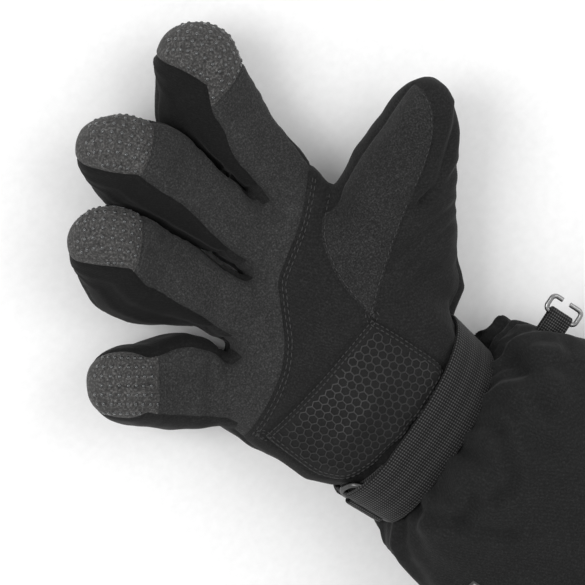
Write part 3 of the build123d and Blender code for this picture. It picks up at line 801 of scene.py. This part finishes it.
def make_materials():
    # name, shade on screen, flecks, their size, bump depth and sheen
    cloth_shader("suede", 47, 0.38, 0.75, 0.18, 0.06)
    cloth_shader("thumb_suede", 39, 0.45, 0.75, 0.2, 0.06)
    cloth_shader("grip_cloth", 68, 0.42, 1.0, 0.3, 0.06, (1.02, 1.0, 0.98))
    cloth_shader("softshell", 31, 0.35, 0.8, 0.16, 0.05, twill=0.9)
    # the side walls: the softshell painted darker, for painted shade where they face away from the light
    cloth_shader("wall_cloth", 19, 0.4, 0.8, 0.18, 0.04, twill=0.9)
    cloth_shader("cuff_cloth", 30, 0.3, 0.8, 0.15, 0.05, (0.98, 1.0, 1.0), twill=1.1)
    cloth_shader("honeycomb_base", 20, 0.4, 0.8, 0.12, 0.03, rough=0.7)
    cloth_shader("binding", 28, 0.25, 0.6, 0.15, 0.05, twill=0.7)
    cloth_shader("fleece", 44, 0.4, 1.6, 0.6, 0.3)
    cloth_shader("wadding", 190, 0.1, 2.5, 0.8, 0.3)
    cloth_shader("hook_tape", 32, 0.5, 0.8, 0.5, 0.1, rough=0.7)
    webbing_shader("webbing", 22, 1.3)
    webbing_shader("tab_webbing", 25, 1.2)
    for name, shade, rough in (("rubber", 31, 0.5), ("thread", 37, 0.6)):
        s = Shader(name, Roughness=rough)
        grain = s.noise(0.6, 2)
        s.finish(s.ramp(grain, (0.3, grey(shade * 0.8)), (0.7, grey(shade * 1.15))), grain, 0.08)
    s = Shader("silicone", Roughness=0.16, Coat_Weight=0.8)
    grain, bluish = s.noise(0.9, 2), (0.95, 1.0, 1.04)
    s.finish(s.ramp(grain, (0.3, grey(40, bluish)), (0.7, grey(56, bluish))), grain, 0.03, 0.3)
    for name, shade, rough in (("ring_steel", 92, 0.22), ("hook_steel", 160, 0.2)):
        s = Shader(name, Metallic=1.0)
        scuffs = s.noise(0.7, 4, 0.7, (1, 1, 4))
        wear_and_hollow_shade = s.ramp(scuffs, (0.3, rough + 0.18), (0.7, rough))
        s.finish(s.ramp(scuffs, (0.3, grey(shade * 0.75)), (0.65, grey(shade))), scuffs, 0.05, 0.3, wear_and_hollow_shade)
    s = Shader("label", Roughness=0.6)
    edge = s.math("MAXIMUM", *(s.math("ABSOLUTE", s.attribute(way)) for way in ("run", "side")))
    dark, pale = grey(40), grey(150)
    border = s.ramp(edge, (0.0, dark), (0.74, dark), (0.78, pale), (0.86, pale), (0.9, grey(50)))
    threads = s.noise(0.5, 2, 0.6, (1, 3, 1))
    s.finish(s.times(border, s.ramp(threads, (0.3, 0.7), (0.7, 1.0))), threads, 0.1)


# ---------------------------------------------------------------- pieces
def piece(mesh, name, body, shader, nodes):
    """Puts a mesh into the scene. body is one body to hang it on; given as (body, body, start, end), the mesh
    is hung on no body and only its place is baked in.
    """
    o = bpy.data.objects.new(name, mesh)
    bpy.context.scene.collection.objects.link(o)
    mesh.materials.append(MATERIALS[shader])
    if isinstance(body, str):
        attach(o, body)
    else:
        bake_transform(o)
    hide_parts(*nodes)


def bends():
    """The span over which fabric turns at each hinge, by body."""
    spans = {"wrist": ("hand", "cuff", WRIST.o + WRIST.y * 30, WRIST.o + WRIST.y * 10)}
    for name, d in DIGITS.items():
        root, upper = digit_places(d)
        base = [root.o + root.y * k for k in d.folds[:2]]
        middle = [upper.o + root.y * (d.folds[3] - d.low), upper.o + upper.y * (d.folds[4] - d.low)]
        spans[name + "_lower"] = ("hand", name + "_lower", *base)
        spans[name + "_upper"] = (name + "_lower", name + "_upper", *middle)
    return spans


def panel_piece(label):
    """Body, shader and slot of one of the skin's panels."""
    if label == "palm_suede":
        return "hand", "suede", "suede"
    if label in ("palm_panel", "hand_back"):
        return BENDS["wrist"], "softshell", "softshell"
    if label == "heel_patch":
        return BENDS["wrist"], "honeycomb_base", "honeycomb"
    if label.startswith("cuff"):
        return "cuff", "cuff_cloth", "softshell"
    part = "upper" if label.endswith(("upper", "patch")) else "lower"
    body = BENDS[f"{label.split('_')[0]}_{part}"]
    if "tip_patch" in label:
        return body, "grip_cloth", "grip_patch"
    if "palm_face" in label:
        return body, "suede", "suede"
    if "thumb_pad" in label:
        return body, "thumb_suede", "suede"
    # the side walls take the softshell painted darker, as painted shade
    return body, "wall_cloth" if "wall" in label else "softshell", "softshell"


class Bits:
    """Many small solids gathered into one mesh."""

    def __init__(self):
        self.v, self.f, self.count = [], [], 0

    def add(self, corners, faces):
        self.v.append(np.asarray(corners, float))
        self.f += [[k + self.count for k in face] for face in faces]
        self.count += len(corners)

    def mesh(self, name, shade=True):
        return new_mesh(name, np.concatenate(self.v), self.f, shade)

    def stitches(self, label, body, node=None):
        name = label + "_stitches"
        piece(self.mesh(name), name, body, "thread", [node or label])


def tube_faces(rings, sides):
    """The faces of a tube of rings of corners, with its two ends last."""
    faces = []
    for r in range(rings - 1):
        for k in range(sides):
            a, b = r * sides + k, r * sides + (k + 1) % sides
            faces.append((a, b, b + sides, a + sides))
    faces.append(tuple(range(sides))[::-1])
    faces.append(tuple((rings - 1) * sides + k for k in range(sides)))
    return faces


# where a stitch's rings are, in its lengths, and their size, in its radii
STITCH_RINGS = ((-0.5, 0.45), (-0.3, 0.95), (0.0, 1.1), (0.3, 0.95), (0.5, 0.45))
STITCH_LIFT = 0.12


def add_stitch(bits, middle, along, up, length, radius):
    across = np.cross(along, up)
    turns = np.radians(np.arange(0, 360, 60))
    ring = np.outer(np.cos(turns), across) + np.outer(np.sin(turns), up * 0.8)
    corners = [middle + along * length * k + ring * radius * r for k, r in STITCH_RINGS]
    bits.add(np.concatenate(corners), tube_faces(len(STITCH_RINGS), 6))


def resample(points, pitch):
    points = np.asarray(points, float)
    step = np.linalg.norm(np.diff(points, axis=0), axis=1)
    total = np.concatenate([[0], np.cumsum(step)])
    count = max(int(total[-1] / pitch), 1)
    want = (np.arange(count) + 0.5) * total[-1] / count
    return np.stack([np.interp(want, total, points[:, k]) for k in range(points.shape[1])], 1)


def drop(start, ray):
    """Where a ray meets the skin, and the normal there; None if it misses."""
    hit, normal, _, _ = TREE.ray_cast(Vector(start), Vector(ray))
    return (np.array(hit), np.array(normal)) if hit else None


def drop_down(x, y):
    return drop((x, y, 200), (0, 0, -1))


def stitch_row(bits, points=None, pitch=3.0, length=2.1, radius=0.3, rays=()):
    """Stitches along a line. Each point drops onto the skin from above, or along its own ray."""
    if points is not None:
        spots = [drop_down(x, y) for x, y in resample(points, pitch)]
    else:
        spots = [drop(start, ray) for start, ray in rays]
        spots = [s and (s[0], s[1] * np.sign(np.dot(s[1], ray))) for s, (_, ray) in zip(spots, rays)]
    for a, b, c in zip(spots[:-2], spots[1:-1], spots[2:]):
        if a and b and c and np.linalg.norm(c[0] - a[0]) < 3 * pitch:
            along = c[0] - a[0]
            along /= np.linalg.norm(along)
            add_stitch(bits, b[0] + b[1] * STITCH_LIFT, along, b[1], length, radius)


def offset_line(line, distance):
    """A plan line moved sideways, to its right."""
    tangent = np.gradient(line, axis=0)
    tangent /= np.maximum(np.linalg.norm(tangent, axis=1), 1e-9)[:, None]
    return line + np.stack([tangent[:, 1], -tangent[:, 0]], 1) * distance


# places across half of a strap, from its middle to its edge, in its widths
STRIP_SHARES = (0, 0.08, 0.16, 0.22, 0.3, 0.36, 0.46, 0.49, 0.5)


def strip_mesh(name, path, out, across, width, thick, ridges=0.12):
    """A strap along a path: rounded edges, faint lengthwise channels, and its run and side as attributes."""
    half = np.array(STRIP_SHARES)
    share = np.concatenate([-half[:0:-1], half])
    edge = np.clip(np.abs(share) - 0.46, 0, None) / 0.04
    top = thick * (0.5 - 0.25 * edge) + ridges * (np.cos(share * 25) - 1) / 2
    under = [(0.5, -0.25 * thick), (0.47, -0.5 * thick), (-0.47, -0.5 * thick), (-0.5, -0.25 * thick)]
    profile = np.array([*zip(share, top), *under])
    width = np.broadcast_to(width, len(path)).astype(float)
    rings, sides = len(path), len(profile)
    run = np.concatenate([[0], np.cumsum(np.linalg.norm(np.diff(path, axis=0), axis=1))])
    sideways = (width[:, None] * profile[None, :, 0])[:, :, None]
    v = (path[:, None] + across[:, None] * sideways + out[:, None] * profile[None, :, 1:]).reshape(-1, 3)
    faces = [face[::-1] for face in tube_faces(rings, sides)]
    return new_mesh(name, v, faces, run=np.repeat(run, sides), side=sideways.ravel())


# ---------------------------------------------------------------- making
FIELD = glove_field()
outer = Skin(FIELD, 0.0, 1, 5)
add_fields(outer)
cut_panels(outer, False)
RELIEF, FLAT_NORMALS = relief(outer)
outer.data[:, :3] += RELIEF[:, None] * FLAT_NORMALS
outer.data[:, 2] = np.maximum(outer.data[:, 2], 0.4)
NORMALS = outer.normals()
make_materials()
BENDS = bends()
TREE = BVHTree.FromPolygons(outer.v.tolist(), [list(dict.fromkeys(f)) for f in outer.faces.tolist()])


def make_skin():
    for label in sorted(set(outer.labels.tolist()) - {"none"}):
        body, shader, slot = panel_piece(label)
        piece(outer.mesh(label + "_skin", [label], NORMALS), label + "_skin", body, shader, [label])


TUCK_REACH, TUCK_CLEAR = 4, 0.8


def tuck_in(points):
    """Pushes a lining's points back under the skin where the bottom of a fold would reach past them."""
    for k, point in enumerate(points):
        spot, normal, _, away = TREE.find_nearest(Vector(point))
        if away < TUCK_REACH and (spot - Vector(point)).dot(normal) < TUCK_CLEAR:
            points[k] = spot - normal * TUCK_CLEAR


def lining_skin(level):
    """A coarser skin a little inside the glove's, facing inwards, with one panel for each part."""
    inner = Skin(FIELD, level, 2, 3)
    add_fields(inner)
    inner.faces = inner.faces[:, ::-1].copy()
    cut_panels(inner, True)
    return inner


def make_linings():
    """The fleece inside, and the wadding over the back of the hand."""
    fleece = lining_skin(-7.6)
    tuck_in(fleece.data[:, :3])
    normals = fleece.normals()
    for label in sorted(set(fleece.labels.tolist()) - {"none"}):
        if label == "cuff":
            body, node = "cuff", "cuff_lining"
        elif label == "hand":
            body, node = BENDS["wrist"], "palm_lining"
        else:
            body, node = BENDS[label], label.split("_")[0] + "_lining"
        name = f"{node}_{label}_soft"
        piece(fleece.mesh(name, [label], normals), name, body, "fleece", [node])
    wadding = lining_skin(-5.4)
    wadding.cut("side", ["hand"], "front", "hand")
    wadding.cut("ahead", ["hand"], "hand", "front")
    tuck_in(wadding.data[:, :3])
    node = "hand_back_insulation"
    mesh = wadding.mesh(node + "_hand_soft", ["hand"], wadding.normals())
    piece(mesh, node + "_hand_soft", "hand", "wadding", [node])


def wrist_point(angle, out, along=0.0):
    """A point round the wrist and the direction away from it, out millimetres off the strap's inner side."""
    wide, thick = STRAP_HALF[0] + out, STRAP_HALF[1] + out
    a = np.radians(angle)
    away = WRIST.x * np.cos(a) / wide + WRIST.z * np.sin(a) / thick
    middle = WRIST.o + WRIST.y * along
    return middle + WRIST.x * wide * np.cos(a) + WRIST.z * thick * np.sin(a), away / np.linalg.norm(away)


def wrist_strip(name, start, end, out, width, thick, body, nodes, shader="webbing",
                ridges=0.12, shift=0.0):
    """A strip round the wrist. out, width and shift are numbers, or functions of the angle."""
    angles = np.linspace(start, end, int(abs(end - start) / 2.5) + 2)
    outs, widths, shifts = ([f(a) if callable(f) else f for a in angles] for f in (out, width, shift))
    pairs = [wrist_point(a, o, along) for a, o, along in zip(angles, outs, shifts)]
    path, away = np.array([p[0] for p in pairs]), np.array([p[1] for p in pairs])
    # on the thumb side the front edge stands out with the hand, and the back edge stays in
    level = np.cos(np.radians(angles)).clip(0)
    flare = (FLARE * (level + level**2))[:, None] * away
    across = WRIST.y + flare / STRAP_WIDTH
    mesh = strip_mesh(name, path + flare / 2, away, across, np.array(widths), thick, ridges=ridges)
    piece(mesh, name, body, shader, nodes)


STRAP_HALF = (40.9, 25.4)  # half width and half thickness inside the strap
STRAP_WIDTH = 25.0
RING_ANGLE = 152.0


def make_strap():
    """The strap from the back of the thumb side over the palm to the ring, and back round as the tail."""
    def strap_width(a):
        return STRAP_WIDTH + 0.3 * np.sin(a * 0.9) + 1.6 * smooth((a - 120) / 25)

    def strap_out(a):
        return 1.0 + 6.1 * smooth((a - 104) / 40) - 2.6 * smooth((a - 152) / 14)

    def strap_shift(a):
        return 1.6 * smooth((a - 118) / 25)

    ring_side = ("cuff", "strap_ring", wrist_point(112, 5)[0], wrist_point(140, 5)[0])
    wrist_strip("wrist_strap_webbing", -52, 165, strap_out, strap_width, 1.9, ring_side, ["wrist_strap"],
                shift=strap_shift)
    wrist_strip("wrist_strap_under", 124, RING_ANGLE + 14, 1.0, 24.0, 1.9, "cuff", ["wrist_strap"])
    wrist_strip("wrist_strap_wrap", 160, 184, 3.7, 24.6, 1.7, "cuff", ["wrist_strap"], "tab_webbing")
    wrist_strip("strap_back_webbing", RING_ANGLE + 16, 306, 1.0, STRAP_WIDTH, 2.0, "cuff", ["strap_back"])
    for name, out, body in (("strap_loop_tape", 2.45, "cuff"), ("tail_hook_tape", 3.5, "strap_tail")):
        wrist_strip(name + "_pile", 225, 298, out, 22.0, 0.8, body, [name], "hook_tape", 0)
    wrist_strip("strap_tail_webbing", 182, 300, 4.75, 24.0, 1.6, "strap_tail", ["strap_tail"])


def make_anchor():
    """The loop of webbing round the ring's bar."""
    joint = JOINTS["ring_tilt"]
    bar, along = np.array(joint["pos_m"]) / MM, np.array(joint["axis"])
    away = wrist_point(RING_ANGLE + 8, 3)[1]
    round_ = np.cross(along, away)
    turns = np.radians(np.linspace(-50, 230, 25))
    outward = np.array([round_ * np.cos(t) + away * np.sin(t) for t in turns])
    path = bar + outward * 2.95
    tails = [path[0] - away * 1.3 - round_ * 0.3, path[-1] - away * 1.3 + round_ * 0.3]
    path = np.concatenate([[tails[0]], path, [tails[1]]])
    outward = np.concatenate([outward[:1], outward, outward[-1:]])
    across = np.repeat(along[None], len(path), 0)
    mesh = strip_mesh("ring_anchor_webbing", path, outward, across, 18.0, 0.9, ridges=0.05)
    piece(mesh, "ring_anchor_webbing", "cuff", "tab_webbing", ["ring_anchor"])


def make_tab():
    """The loop that carries the hook: out from the cuff's side, round the hook's bar and back."""
    side = cuff_place(28, 0)
    middle = side.o + side.x * (59.2 + 6)
    middle[2] = 38.8
    radius, up = 2.3, np.array([0, 0, 1.0])
    turns = np.radians(np.linspace(90, -90, 13))
    outward = [side.x * np.cos(t) + up * np.sin(t) for t in turns]
    bend = [middle + side.x * 3 + o * radius for o in outward]
    ends = [middle - side.x * 9, middle - side.x * 3]
    path = [p + up * radius for p in ends] + bend + [p - up * radius for p in ends[::-1]]
    outward = [up] * 2 + outward + [-up] * 2
    across = np.repeat(side.y[None], len(path), 0)
    mesh = strip_mesh("tab_loop_webbing", np.array(path), np.array(outward), across, 11.0, 1.4, ridges=0.08)
    piece(mesh, "tab_loop_webbing", "cuff", "tab_webbing", ["tab_loop"])


def cuff_radius(distance, angles):
    """Where rays from the middle of the cuff leave its skin, at a distance behind the strap."""
    centre = HEM.o + HEM.y * (100 - distance)
    spots = []
    for a in np.radians(angles):
        ray = HEM.x * np.cos(a) + HEM.z * np.sin(a)
        spot = drop(centre + ray * 130, -ray)
        spots.append(spot[0] if spot else centre + ray * 70)
    return np.array(spots), centre


def make_binding():
    """The tape folded over the hem. Its profile goes round its section, as (ahead of the hem, outwards)."""
    angles = np.arange(0, 360, 2.0)
    rim, centre = cuff_radius(99.2, angles)
    front, _ = cuff_radius(90.5, angles)
    profile = ((9.0, -0.3), (8.9, 0.45), (8.2, 0.75), (4.5, 0.85), (0.8, 0.85), (-0.2, 0.5), (-0.6, -0.3),
               (-0.8, -1.6), (-0.5, -3.0), (0.4, -3.9), (4.0, -4.1), (8.6, -4.0), (9.0, -3.4))
    rows = []
    for ahead, out in profile:
        ring = rim + (front - rim) * np.clip((ahead - 0.8) / 8.7, -0.2, 1)
        ring = ring - np.outer((ring - centre) @ HEM.y, HEM.y)
        away = ring - centre
        away /= np.linalg.norm(away, axis=1)[:, None]
        ring = ring + away * out + HEM.y * ahead
        ring[:, 2] = np.maximum(ring[:, 2], 0.15)
        rows.append(ring)
    n, m = len(angles), len(profile)
    faces = []
    for r in range(m):
        for k in range(n):
            here, there, k2 = r * n, ((r + 1) % m) * n, (k + 1) % n
            faces.append((there + k, there + k2, here + k2, here + k))
    mesh = new_mesh("hem_binding_tape", np.concatenate(rows), faces)
    piece(mesh, "hem_binding_tape", "cuff", "binding", ["hem_binding"])


LABEL_HALF = (7, 10)  # half width and half length


def make_label():
    """A thin blank patch, laid on the cuff point by point."""
    middle = cuff_place(62, 0)
    centre = middle.o - middle.x * 54
    n, m = 13, 17
    run, side = (g.ravel() for g in np.meshgrid(np.linspace(-1, 1, m), np.linspace(-1, 1, n), indexing="ij"))
    v = []
    for r, s in zip(run, side):
        spot = centre + middle.x * s * LABEL_HALF[0] + middle.y * r * LABEL_HALF[1]
        hit, normal = drop_down(*spot[:2])
        at_rim = max(abs(s), abs(r)) > 0.99
        v.append(hit + normal * (0.25 if at_rim else 0.75))
    count = n * m
    corners = [(j * n + i) for j in range(m - 1) for i in range(n - 1)]
    faces = [(k, k + 1, k + n + 1, k + n) for k in corners]
    faces += [tuple(k + count for k in f[::-1]) for f in faces]
    rim = [i for i in range(n)] + [j * n + n - 1 for j in range(1, m)]
    rim += [(m - 1) * n + i for i in range(n - 2, -1, -1)] + [j * n for j in range(m - 2, 0, -1)]
    faces += [(a, a + count, b + count, b) for a, b in zip(rim, rim[1:] + rim[:1])]
    v = np.concatenate([v, v - np.array([0, 0, 0.9])])
    mesh = new_mesh("woven_label_patch", v, faces, run=np.tile(run, 2), side=np.tile(side, 2))
    piece(mesh, "woven_label_patch", "cuff", "label", ["woven_label"])


def on_digit(d, s, angle, shift=0.0, lean=0.0):
    """A ray out of a digit's middle at a distance along it and an angle round it, leaning towards its tip."""
    root, upper = digit_places(d)
    p = upper if s > d.low else root
    r = digit_roll(d, np.array(s, float))
    c = p.x * np.cos(r) - p.z * np.sin(r)
    h = p.x * np.sin(r) + p.z * np.cos(r)
    a, e = np.radians(angle), np.radians(lean)
    ray = (c * np.sin(a) + h * np.cos(a)) * np.cos(e) + p.y * np.sin(e)
    middle = p.o + p.y * (s - d.low if s > d.low else s) + p.x * puffed(d, s)[0]
    return middle + c * shift, ray


def field_at(face, name):
    return outer.data[outer.faces[face], outer.names.index(name)].mean()


# height and size of a dot's rings, in its radii
DOT_RINGS = ((0.0, 1.0), (0.35, 0.9), (0.62, 0.55))


def add_dot(bits, middle, normal, radius=0.95):
    """A low dome of three rings and a top, sunk a little into the cloth."""
    across = np.cross(normal, (0.3, 0.2, 0.9))
    across /= np.linalg.norm(across)
    turns = np.radians(np.arange(0, 360, 45))
    circle = np.outer(np.cos(turns), across) + np.outer(np.sin(turns), np.cross(normal, across))
    base = middle - normal * 0.12
    rings = [base + normal * h * radius + circle * radius * r for h, r in DOT_RINGS]
    top = 8 * len(rings)
    faces = tube_faces(len(rings), 8)[:-1] + [(top - 8 + k, top - 8 + (k + 1) % 8, top) for k in range(8)]
    bits.add(np.concatenate([*rings, [base + normal * 0.72 * radius]]), faces)


DOT_PITCH = 4.0
TIP_RADIUS = 17.0  # of the bend that the dots follow over a fingertip


def make_dots():
    """Rows of dots up each fingertip patch; past the bend the rows lean over the tip."""
    for name in FINGERS:
        d = DIGITS[name]
        total, label = d.low + d.high, name + "_tip_patch"
        bend = total - TIP_RADIUS
        bits = Bits()
        for row in range(20):
            run = total - d.patch + 2.2 + row * DOT_PITCH
            s, lean = (run, 0.0) if run < bend else (bend, np.degrees((run - bend) / TIP_RADIUS))
            if lean > 95:
                break
            for k in range(-6, 7):
                start, ray = on_digit(d, s, 0, k * DOT_PITCH, lean)
                hit, normal, face, _ = TREE.ray_cast(Vector(start + ray * 60), Vector(-ray))
                if hit is None or outer.labels[face] != label:
                    continue
                if field_at(face, "face_" + name) > 1.6 and field_at(face, "tip_" + name) > 1.2:
                    add_dot(bits, np.array(hit), np.array(normal))
        piece(bits.mesh(label + "_dots"), label + "_dots", name + "_upper", "silicone", [label])


def stitch_panels():
    """Double rows along the suede's edge and round the heel patch."""
    bits = Bits()
    edge = smooth_line(SUEDE_EDGE) + WRIST.o[:2]
    for gap in (-1.9, -3.3):
        stitch_row(bits, offset_line(edge, gap))
    bits.stitches("palm_panel", BENDS["wrist"])
    bits = Bits()
    border = smooth_line(HEEL_PATCH, True) + WRIST.o[:2]
    border = np.concatenate([border, border[:4]])
    for gap in (1.1, 2.6):
        stitch_row(bits, offset_line(border, gap), 2.4, 1.7)
    bits.stitches("heel_patch", BENDS["wrist"])


def stitch_thumb():
    """A row round the thumb's pad, in the stretches that lie on each of its two lengths."""
    pad = smooth_line(THUMB_PAD, True) + WRIST.o[:2]
    pad = offset_line(np.concatenate([pad, pad[:4]]), 1.2)
    d = DIGITS["thumb"]
    along = digit_coords(np.column_stack([pad, np.full(len(pad), WRIST.o[2] + 10)]), d)[0]
    for part, chosen in (("lower", along < d.folds[2]), ("upper", along >= d.folds[2])):
        bits = Bits()
        start = 0
        for k in range(1, len(pad) + 1):
            if k == len(pad) or chosen[k] != chosen[start]:
                if chosen[start] and k - start > 3:
                    stitch_row(bits, pad[start:k], 2.6, 1.8)
                start = k
        bits.stitches("thumb_pad_" + part, BENDS["thumb_" + part])


def stitch_fingers():
    """A row across each finger's face, below its tip patch."""
    for name in FINGERS:
        d = DIGITS[name]
        bits = Bits()
        rays = []
        for a in np.arange(-FACE_HALF - 2, FACE_HALF + 3, 8.0):
            start, ray = on_digit(d, d.low + d.high - d.patch + 0.02 * a - 1.3, a)
            rays.append((start + ray * 60, -ray))
        stitch_row(bits, None, 2.6, 1.7, rays=rays)
        bits.stitches(name + "_palm_face_upper", BENDS[name + "_upper"])


def stitch_cuff():
    """A row on each side of the cuff's two side seams."""
    bits = Bits()
    for sign in (1, -1):
        for gap in (1.8, -1.8):
            rays = []
            for distance in np.arange(17, 90, 3.0):
                centre = HEM.o + HEM.y * (100 - distance)
                centre[2] = WRIST.o[2] + gap
                rays.append((centre + HEM.x * sign * 130, -HEM.x * sign))
            stitch_row(bits, rays=rays)
    bits.stitches("cuff_seam", "cuff", "cuff_palm_panel")


HEX_PITCH = 3.7
RIB_SECTION = ((-0.29, -0.1), (-0.16, 0.36), (0.16, 0.36), (0.29, -0.1))  # across and up


def make_ribs():
    """Raised hexagon lines on the heel patch: each hexagon gives three of its sides."""
    border = smooth_line(HEEL_PATCH, True)
    size = HEX_PITCH / 3**0.5
    bits = Bits()
    for i in range(-20, 20):
        for j in range(-20, 20):
            middle = np.array([HEX_PITCH * (i + 0.5 * (j % 2)), 1.5 * size * j + 28])
            for k in range(3):
                t = np.radians([30 + 60 * k, 90 + 60 * k])
                ends = middle + size * np.stack([np.cos(t), np.sin(t)], 1)
                if inside_outline(ends[:, 0], ends[:, 1], border).min() < 3.4:
                    continue
                ends = ends + WRIST.o[:2]
                spots = [drop_down(*(ends[0] + (ends[1] - ends[0]) * share)) for share in (0.0, 0.5, 1.0)]
                along = spots[2][0] - spots[0][0]
                along /= np.linalg.norm(along)
                rings = []
                for hit, normal in spots:
                    across = np.cross(along, normal)
                    rings += [hit + across * a + normal * b for a, b in RIB_SECTION]
                bits.add(rings, tube_faces(3, 4))
    mesh = bits.mesh("heel_patch_ribs", False)
    piece(mesh, "heel_patch_ribs", BENDS["wrist"], "rubber", ["heel_patch"])


make_skin()
make_linings()
make_strap()
make_anchor()
make_tab()
make_binding()
make_label()
make_dots()
stitch_panels()
stitch_thumb()
stitch_fingers()
stitch_cuff()
make_ribs()
for node, shader in (("strap_ring", "ring_steel"), ("tab_hook", "hook_steel")):
    for material_slot in frame["nodes"][node].material_slots:
        material_slot.material = MATERIALS[shader]


# ---------------------------------------------------------------- camera, light and floor
TILT = np.radians(12)
DISTANCE = 1.15
PHOTO_WIDTH = 0.2545


def make_camera():
    across = np.array([1.0, 0, 0])
    along = np.array([0, np.cos(TILT), -np.sin(TILT)])
    back = np.array([0, np.sin(TILT), np.cos(TILT)])
    right, up = (across - along) / 2**0.5, (across + along) / 2**0.5
    target = at(0.9, 79.1, 0) * MM
    data = bpy.data.cameras.new("camera")
    data.sensor_width = 36
    data.lens = 36 * DISTANCE / PHOTO_WIDTH
    camera = bpy.data.objects.new("camera", data)
    camera.matrix_world = Matrix(np.vstack([
        np.column_stack([right, up, back, target + back * DISTANCE]), [0, 0, 0, 1]]).tolist())
    bpy.context.scene.collection.objects.link(camera)
    bpy.context.scene.camera = camera


def make_light(name, where, size, power, aim=(0, 0, 0.03)):
    data = bpy.data.lights.new(name, "AREA")
    data.size = size
    data.energy = power
    lamp = bpy.data.objects.new(name, data)
    lamp.location = where
    lamp.rotation_mode = "QUATERNION"
    lamp.rotation_quaternion = (Vector(aim) - Vector(where)).to_track_quat("-Z", "Y")
    bpy.context.scene.collection.objects.link(lamp)


def make_stage():
    corners = [(-3, -3, 0), (3, -3, 0), (3, 3, 0), (-3, 3, 0)]
    mesh = bpy.data.meshes.new("floor")
    mesh.from_pydata(corners, [], [(0, 1, 2, 3)])
    floor = bpy.data.objects.new("floor", mesh)
    bpy.context.scene.collection.objects.link(floor)
    s = Shader("floor", Roughness=0.9)
    paper = s.noise(4, 3)
    s.finish(s.ramp(paper, (0.3, 0.86), (0.7, 0.9)), paper, 0.02, 0.1)
    mesh.materials.append(s.m)
    world = bpy.data.worlds.new("studio")
    world.use_nodes = True
    world.node_tree.nodes["Background"].inputs["Color"].default_value = (1, 1, 1, 1)
    world.node_tree.nodes["Background"].inputs["Strength"].default_value = 0.8
    bpy.context.scene.world = world
    bpy.context.scene.view_settings.view_transform = "Standard"
    make_light("key", (-0.6, 0.9, 1.3), 0.8, 12)
    make_light("fill", (0.9, -0.2, 1.1), 1.0, 5)


make_camera()
make_stage()
bpy.context.view_layer.update()
